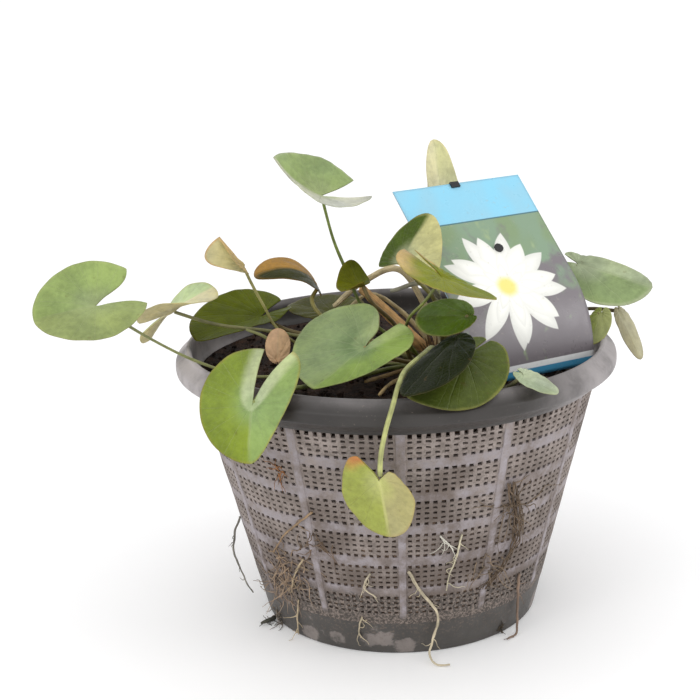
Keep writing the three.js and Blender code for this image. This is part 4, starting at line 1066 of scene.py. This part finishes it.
# --------------------------------------------------------------- rootstock
class LILY_OT_rootstock(bpy.types.Operator):
    """Build the fibrous rootstock that the petioles grow from"""

    bl_idname = "lily.rootstock"
    bl_label = "Rootstock"

    def execute(self, context):
        rng = np.random.default_rng(31)
        z = np.array([117.0, 122.0, 127.0, 130.5, 133.5, 135.5, 136.6])
        spine = smooth_path(np.stack([CROWN_X + 0.4 * np.sin(z), CROWN_Y + 0.4 * np.cos(z), z], 1), 40)
        wide = 4.7 * np.sqrt(np.clip(1 - ((np.linspace(0, 1, 40) - 0.35) / 0.68) ** 2, 0.02, 1))
        parts = [tube(spine, wide, 28, 9, 0.07, seed=32, rough=0.5)]
        limits = (0, 2 * np.pi), (0.2, 1.1), (5, 13)
        for turn, lean, long in zip(*(rng.uniform(*pair, 70) for pair in limits)):
            out = polar(1.0, turn, 0.0)
            foot = np.array([CROWN_X, CROWN_Y, rng.uniform(127, 134)]) + out * rng.uniform(2.0, 4.4)
            way = (out * math.sin(lean) + np.array([0, 0, math.cos(lean)])) * long
            bend = np.array([rng.normal(), rng.normal(), 0.0]) * 1.4
            line = smooth_path([foot, foot + way * 0.5 + bend * 0.4, foot + way + bend], 9)
            parts.append(tube(line, np.linspace(0.5, 0.18, 9), 5))
        fibre = fibre_material("rootstock_fibre", tint(0x96764A), tint(0x422E1C), 3.0, 0.85, 0.0006)
        make_piece("rootstock", [(fibre, parts)], "rootstock", ("crown",))
        return {"FINISHED"}


# --------------------------------------------------------- leaves and stalks
class LILY_OT_leaves(bpy.types.Operator):
    """Build every leaf: a thin veined blade and its petiole down into the soil"""

    bl_idname = "lily.leaves"
    bl_label = "Leaves"

    def execute(self, context):
        plant = context.scene.lily_plant
        share = np.linspace(0, 1, 70)[:-1]
        for seed, (name, leaf) in enumerate(LEAVES.items()):
            face = blade(leaf, plant.blade / MM, 100 + 3 * seed)
            line = rooted_path(leaf["root"], [*leaf["stem"], leaf["apex"]], 70)[:-1]
            wide = 1.04 - 0.16 * eased(share, 0.1, 0.9) + 0.10 * lumps(line, 22.0, seed)
            petiole = tube(line, plant.petiole / MM * leaf.get("slim", 1.0) * wide, 12)
            stalk = fibre_material(
                name + "_petiole", tint(leaf["stalk"]), tint(leaf["stalk"], 0.72), 2.0, 0.5, 0.0002)
            make_piece(name, [(leaf_material(name, leaf), [face]), (stalk, [petiole])], name, (name,))
        return {"FINISHED"}


class LILY_OT_stalks(bpy.types.Operator):
    """Build the old stems and the rolled dead leaf, ribbed lengthwise"""

    bl_idname = "lily.stalks"
    bl_label = "Old stems"

    def execute(self, context):
        share = np.linspace(0, 1, 60)
        for seed, (name, (r, root, code, points)) in enumerate(STALKS.items()):
            line = rooted_path(root, points, 60)
            wide = r * (1.0 - 0.25 * share**2 + 0.12 * lumps(line, 7.0, 200 + seed))
            rod = tube(line, wide, 20, 7, 0.09, seed=seed, rough=0.07 * r)
            fibre = fibre_material(name + "_fibre", tint(code), tint(code, 0.72), 3.4, 0.8, 0.0004)
            make_piece(name, [(fibre, [rod])], "old_stem", (name,))
        return {"FINISHED"}


# -------------------------------------------------------------------- roots
def kept_outside(line, clear):
    """Points pushed out to at least that distance from the mesh wall, and kept above the floor."""
    r = np.hypot(line[:, 0], line[:, 1])
    least = wall_radius(np.clip(line[:, 2], 0, WALL_TOP_Z)) + clear
    grow = np.maximum(r, least) / np.maximum(r, 1e-6)
    return np.column_stack([line[:, :2] * grow[:, None], np.maximum(line[:, 2], 0.35)])


def wall_ways(point):
    """The level ways straight out of the wall and along it at a point."""
    outward = unit(np.array([point[0], point[1], 0.0]))
    return outward, np.cross(UP, outward)


def hair(start, heading, long, drift, thick, seed, steps=22):
    """A fine root of that length from start, outside the mesh: its heading drifts by smooth
    random turns, and its path is the running sum of its steps."""
    turns = np.cumsum(np.random.default_rng(seed).normal(0, 1, (steps, 3)), axis=0) * drift
    path = start + np.cumsum(unit(heading + turns) * long / steps, axis=0)
    return tube(kept_outside(path, 0.25), np.linspace(thick, 0.1, steps), 5)


def rootlets(line, count, long, seed):
    """Thin side roots that leave a root at random places and wander down the wall."""
    rng = np.random.default_rng(seed)
    draws = rng.integers(2, len(line) - 2, count), rng.uniform(-1, 1, count), rng.uniform(0.4, 1, count)
    parts = []
    for at, side, reach in zip(*draws):
        heading = wall_ways(line[at])[1] * side + (0, 0, -0.7)
        parts.append(hair(line[at], heading, long * reach, 0.16, 0.26, rng.integers(1e6)))
    return parts


def strands(line, count, seed):
    """A bundle of thin roots that follow one path, each set off from it by its own soft lumps."""
    parts = []
    for k in range(count):
        away = lumps3(line + 60.0 * k, 9.0, seed + 3 * k)
        path = kept_outside(line + 2.6 * away * np.array([1.0, 1.0, 0.4]), 0.3)
        parts.append(tube(path, np.linspace(0.42, 0.2, len(path)), 6))
    return parts


def tangle(degrees, z, count, long, spread, seed):
    """Fine roots that start about one place on the wall and wander off in all directions."""
    rng = np.random.default_rng(seed)
    parts = []
    for _ in range(count):
        azimuth = math.radians(degrees + rng.normal(0, spread) * 0.6)
        level = max(z + rng.normal(0, spread), 1.0)
        start = polar(wall_radius(level) + 0.3, azimuth, level)
        outward, along = wall_ways(start)
        heading = along * rng.normal(0, 0.8) + outward * rng.uniform(0, 0.35) + (0, 0, rng.normal(-0.5, 0.6))
        parts.append(hair(start, heading, long * rng.uniform(0.5, 1), 0.28, 0.3, rng.integers(1e6)))
    return parts


class LILY_OT_roots(bpy.types.Operator):
    """Build the roots outside the mesh, with side rootlets and loose tangles"""

    bl_idname = "lily.roots"
    bl_label = "Roots"

    def execute(self, context):
        taper = 0.95 - 0.42 * np.linspace(0, 1, 60) ** 1.5
        for seed, (name, (r, code, points)) in enumerate(ROOTS.items()):
            line = smooth_path(points, 60)
            line = kept_outside(line + 0.35 * lumps3(line, 3.5, 300 + 3 * seed), r + 0.15)
            if name == "root_right_dark":
                parts = strands(line, 6, 410)
            else:
                wide = r * taper * (1 + 0.15 * lumps(line, 2.5, 40 + seed))
                parts = [tube(line, wide, 9, seed=seed, rough=0.06)]
            fibre = fibre_material(name + "_fibre", tint(code), tint(code, 0.66), 2.2, 0.8)
            make_piece(name, [(fibre, parts + rootlets(line, 5, 11.0, 400 + seed))], "root", (name,))
        for seed, (name, (*where, code)) in enumerate(TANGLES.items()):
            fibre = fibre_material(name + "_fibre", tint(code), tint(code, 0.62), 2.2, 0.85)
            make_piece("roots_" + name, [(fibre, tangle(*where, 500 + seed))], "root")
        return {"FINISHED"}


# -------------------------------------------------------------------- label
class LILY_OT_label(bpy.types.Operator):
    """Build the printed plant label, and finish the stake behind it"""

    bl_idname = "lily.label"
    bl_label = "Plant label"

    def execute(self, context):
        label = context.scene.lily_label
        card = label_material(tuple(label.header), tuple(label.panel))
        make_piece("label_card", [(card, [card_slab()])], "label_card", ("label_card",))
        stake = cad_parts["label_stake"]
        stake.data.materials.clear()
        stake.data.materials.append(stake_material())
        return {"FINISHED"}


# -------------------------------------------------------------------- stage
# The camera looks at its aim from that far away; focal is its lens as a multiple of the film's width.
CAMERA = {
    "pitch": 15.73, "roll": -1.84, "aim": (-22.7, 0.0, 133.8), "away": 804.7, "film": 36.0,
    "focal": 1600 / 700,
}
# Round lamps: power (W), then place, target and size in metres.
SOFTBOXES = {
    "softbox_left": (1.5, (-0.7, -0.9, 1.0), (0, 0, 0.12), 0.45),
    "softbox_right": (2.2, (1.1, -0.35, 0.55), (0.05, 0, 0.1), 0.6),
}


def add_lamp(name, kind, energy, place, target, **settings):
    """A lamp at a place (m), turned to a target."""
    data = bpy.data.lights.new(name, kind)
    for key, value in {"energy": energy, **settings}.items():
        setattr(data, key, value)
    lamp = bpy.data.objects.new(name, data)
    lamp.location = place
    lamp.rotation_euler = (Vector(target) - Vector(place)).to_track_quat("-Z", "Y").to_euler()
    bpy.context.scene.collection.objects.link(lamp)


class LILY_OT_stage(bpy.types.Operator):
    """Build the pale floor, the soft studio light and the camera"""

    bl_idname = "lily.stage"
    bl_label = "Stage"

    def execute(self, context):
        scene = context.scene
        side = scene.lily_stage.floor / 2
        mesh = bpy.data.meshes.new("floor")
        corners = [(-side, -side, 0), (side, -side, 0), (side, side, 0), (-side, side, 0)]
        mesh.from_pydata(corners, [], [(0, 1, 2, 3)])
        g = new_material("pale_floor", 0.2)
        shader = g.tree.nodes["Principled BSDF"].inputs
        g.feed(shader["Roughness"], 0.8)
        g.feed(shader["Base Color"], g.mix(g.noise(0.8, 2.0), tint(0xF8F8F9), tint(0xFBFBFB)))
        g.feed(shader["Emission Color"], (1.0, 1.0, 1.0, 1.0))
        g.feed(shader["Emission Strength"], 0.07)
        mesh.materials.append(g.owner)
        floor = bpy.data.objects.new("stage_floor", mesh)
        scene.collection.objects.link(floor)

        world = bpy.data.worlds.new("white_room")
        world.use_nodes = True
        sky = world.node_tree.nodes["Background"].inputs
        sky["Color"].default_value, sky["Strength"].default_value = (1.0, 1.0, 1.0, 1.0), scene.lily_stage.sky
        scene.world = world
        sun, broad = scene.lily_stage.sun, math.radians(70)
        add_lamp("window_light", "SUN", sun, (-0.9, -1.1, 1.8), (0, 0, 0.1), angle=broad)
        for name, (energy, place, target, size) in SOFTBOXES.items():
            add_lamp(name, "AREA", energy, place, target, shape="DISK", size=size)

        pitch, roll = math.radians(CAMERA["pitch"]), math.radians(CAMERA["roll"])
        ahead = Vector((0, math.cos(pitch), -math.sin(pitch)))
        right, up = Vector((1, 0, 0)), Vector((0, math.sin(pitch), math.cos(pitch)))
        across, over = turned(right, up, roll)
        data = bpy.data.cameras.new("camera")
        data.sensor_width, data.lens = CAMERA["film"], CAMERA["film"] * CAMERA["focal"]
        data.sensor_fit, data.clip_start, data.clip_end = "HORIZONTAL", 0.02, 60.0
        camera = bpy.data.objects.new("camera", data)
        turn = Matrix((across, over, -ahead)).transposed().to_4x4()
        place = Vector(CAMERA["aim"]) * MM - ahead * CAMERA["away"] * MM
        camera.matrix_world = Matrix.Translation(place) @ turn
        scene.collection.objects.link(camera)
        scene.camera = camera
        scene.view_settings.view_transform = "Standard"
        return {"FINISHED"}


OPERATORS = (
    LILY_OT_basket, LILY_OT_soil, LILY_OT_rootstock, LILY_OT_leaves, LILY_OT_stalks, LILY_OT_roots,
    LILY_OT_label, LILY_OT_stage,
)
SETTINGS = {
    "lily_basket": LilyBasketSizes, "lily_plant": LilyPlantSizes, "lily_label": LilyLabelSizes,
    "lily_stage": LilyStageSizes,
}


class LILY_PT_panel(bpy.types.Panel):
    """The plant's pieces and their settings in the sidebar"""

    bl_idname = "LILY_PT_panel"
    bl_label = "Potted water lily"
    bl_space_type = "VIEW_3D"
    bl_region_type = "UI"
    bl_category = "Lily plant"

    def draw(self, context):
        for name, group in SETTINGS.items():
            box = self.layout.box()
            for key in group.__annotations__:
                box.prop(getattr(context.scene, name), key)
        for operator in OPERATORS:
            self.layout.operator(operator.bl_idname)


CLASSES = (*SETTINGS.values(), *OPERATORS, LILY_PT_panel)


def register():
    for item in CLASSES:
        bpy.utils.register_class(item)
    for name, group in SETTINGS.items():
        setattr(bpy.types.Scene, name, bpy.props.PointerProperty(type=group))


def unregister():
    for name in SETTINGS:
        delattr(bpy.types.Scene, name)
    for item in reversed(CLASSES):
        bpy.utils.unregister_class(item)


def main():
    register()
    leaf_face_group()
    fibre_group()
    for operator in OPERATORS:
        family, name = operator.bl_idname.split(".")
        getattr(getattr(bpy.ops, family), name)()


if __name__ == "__main__":
    main()
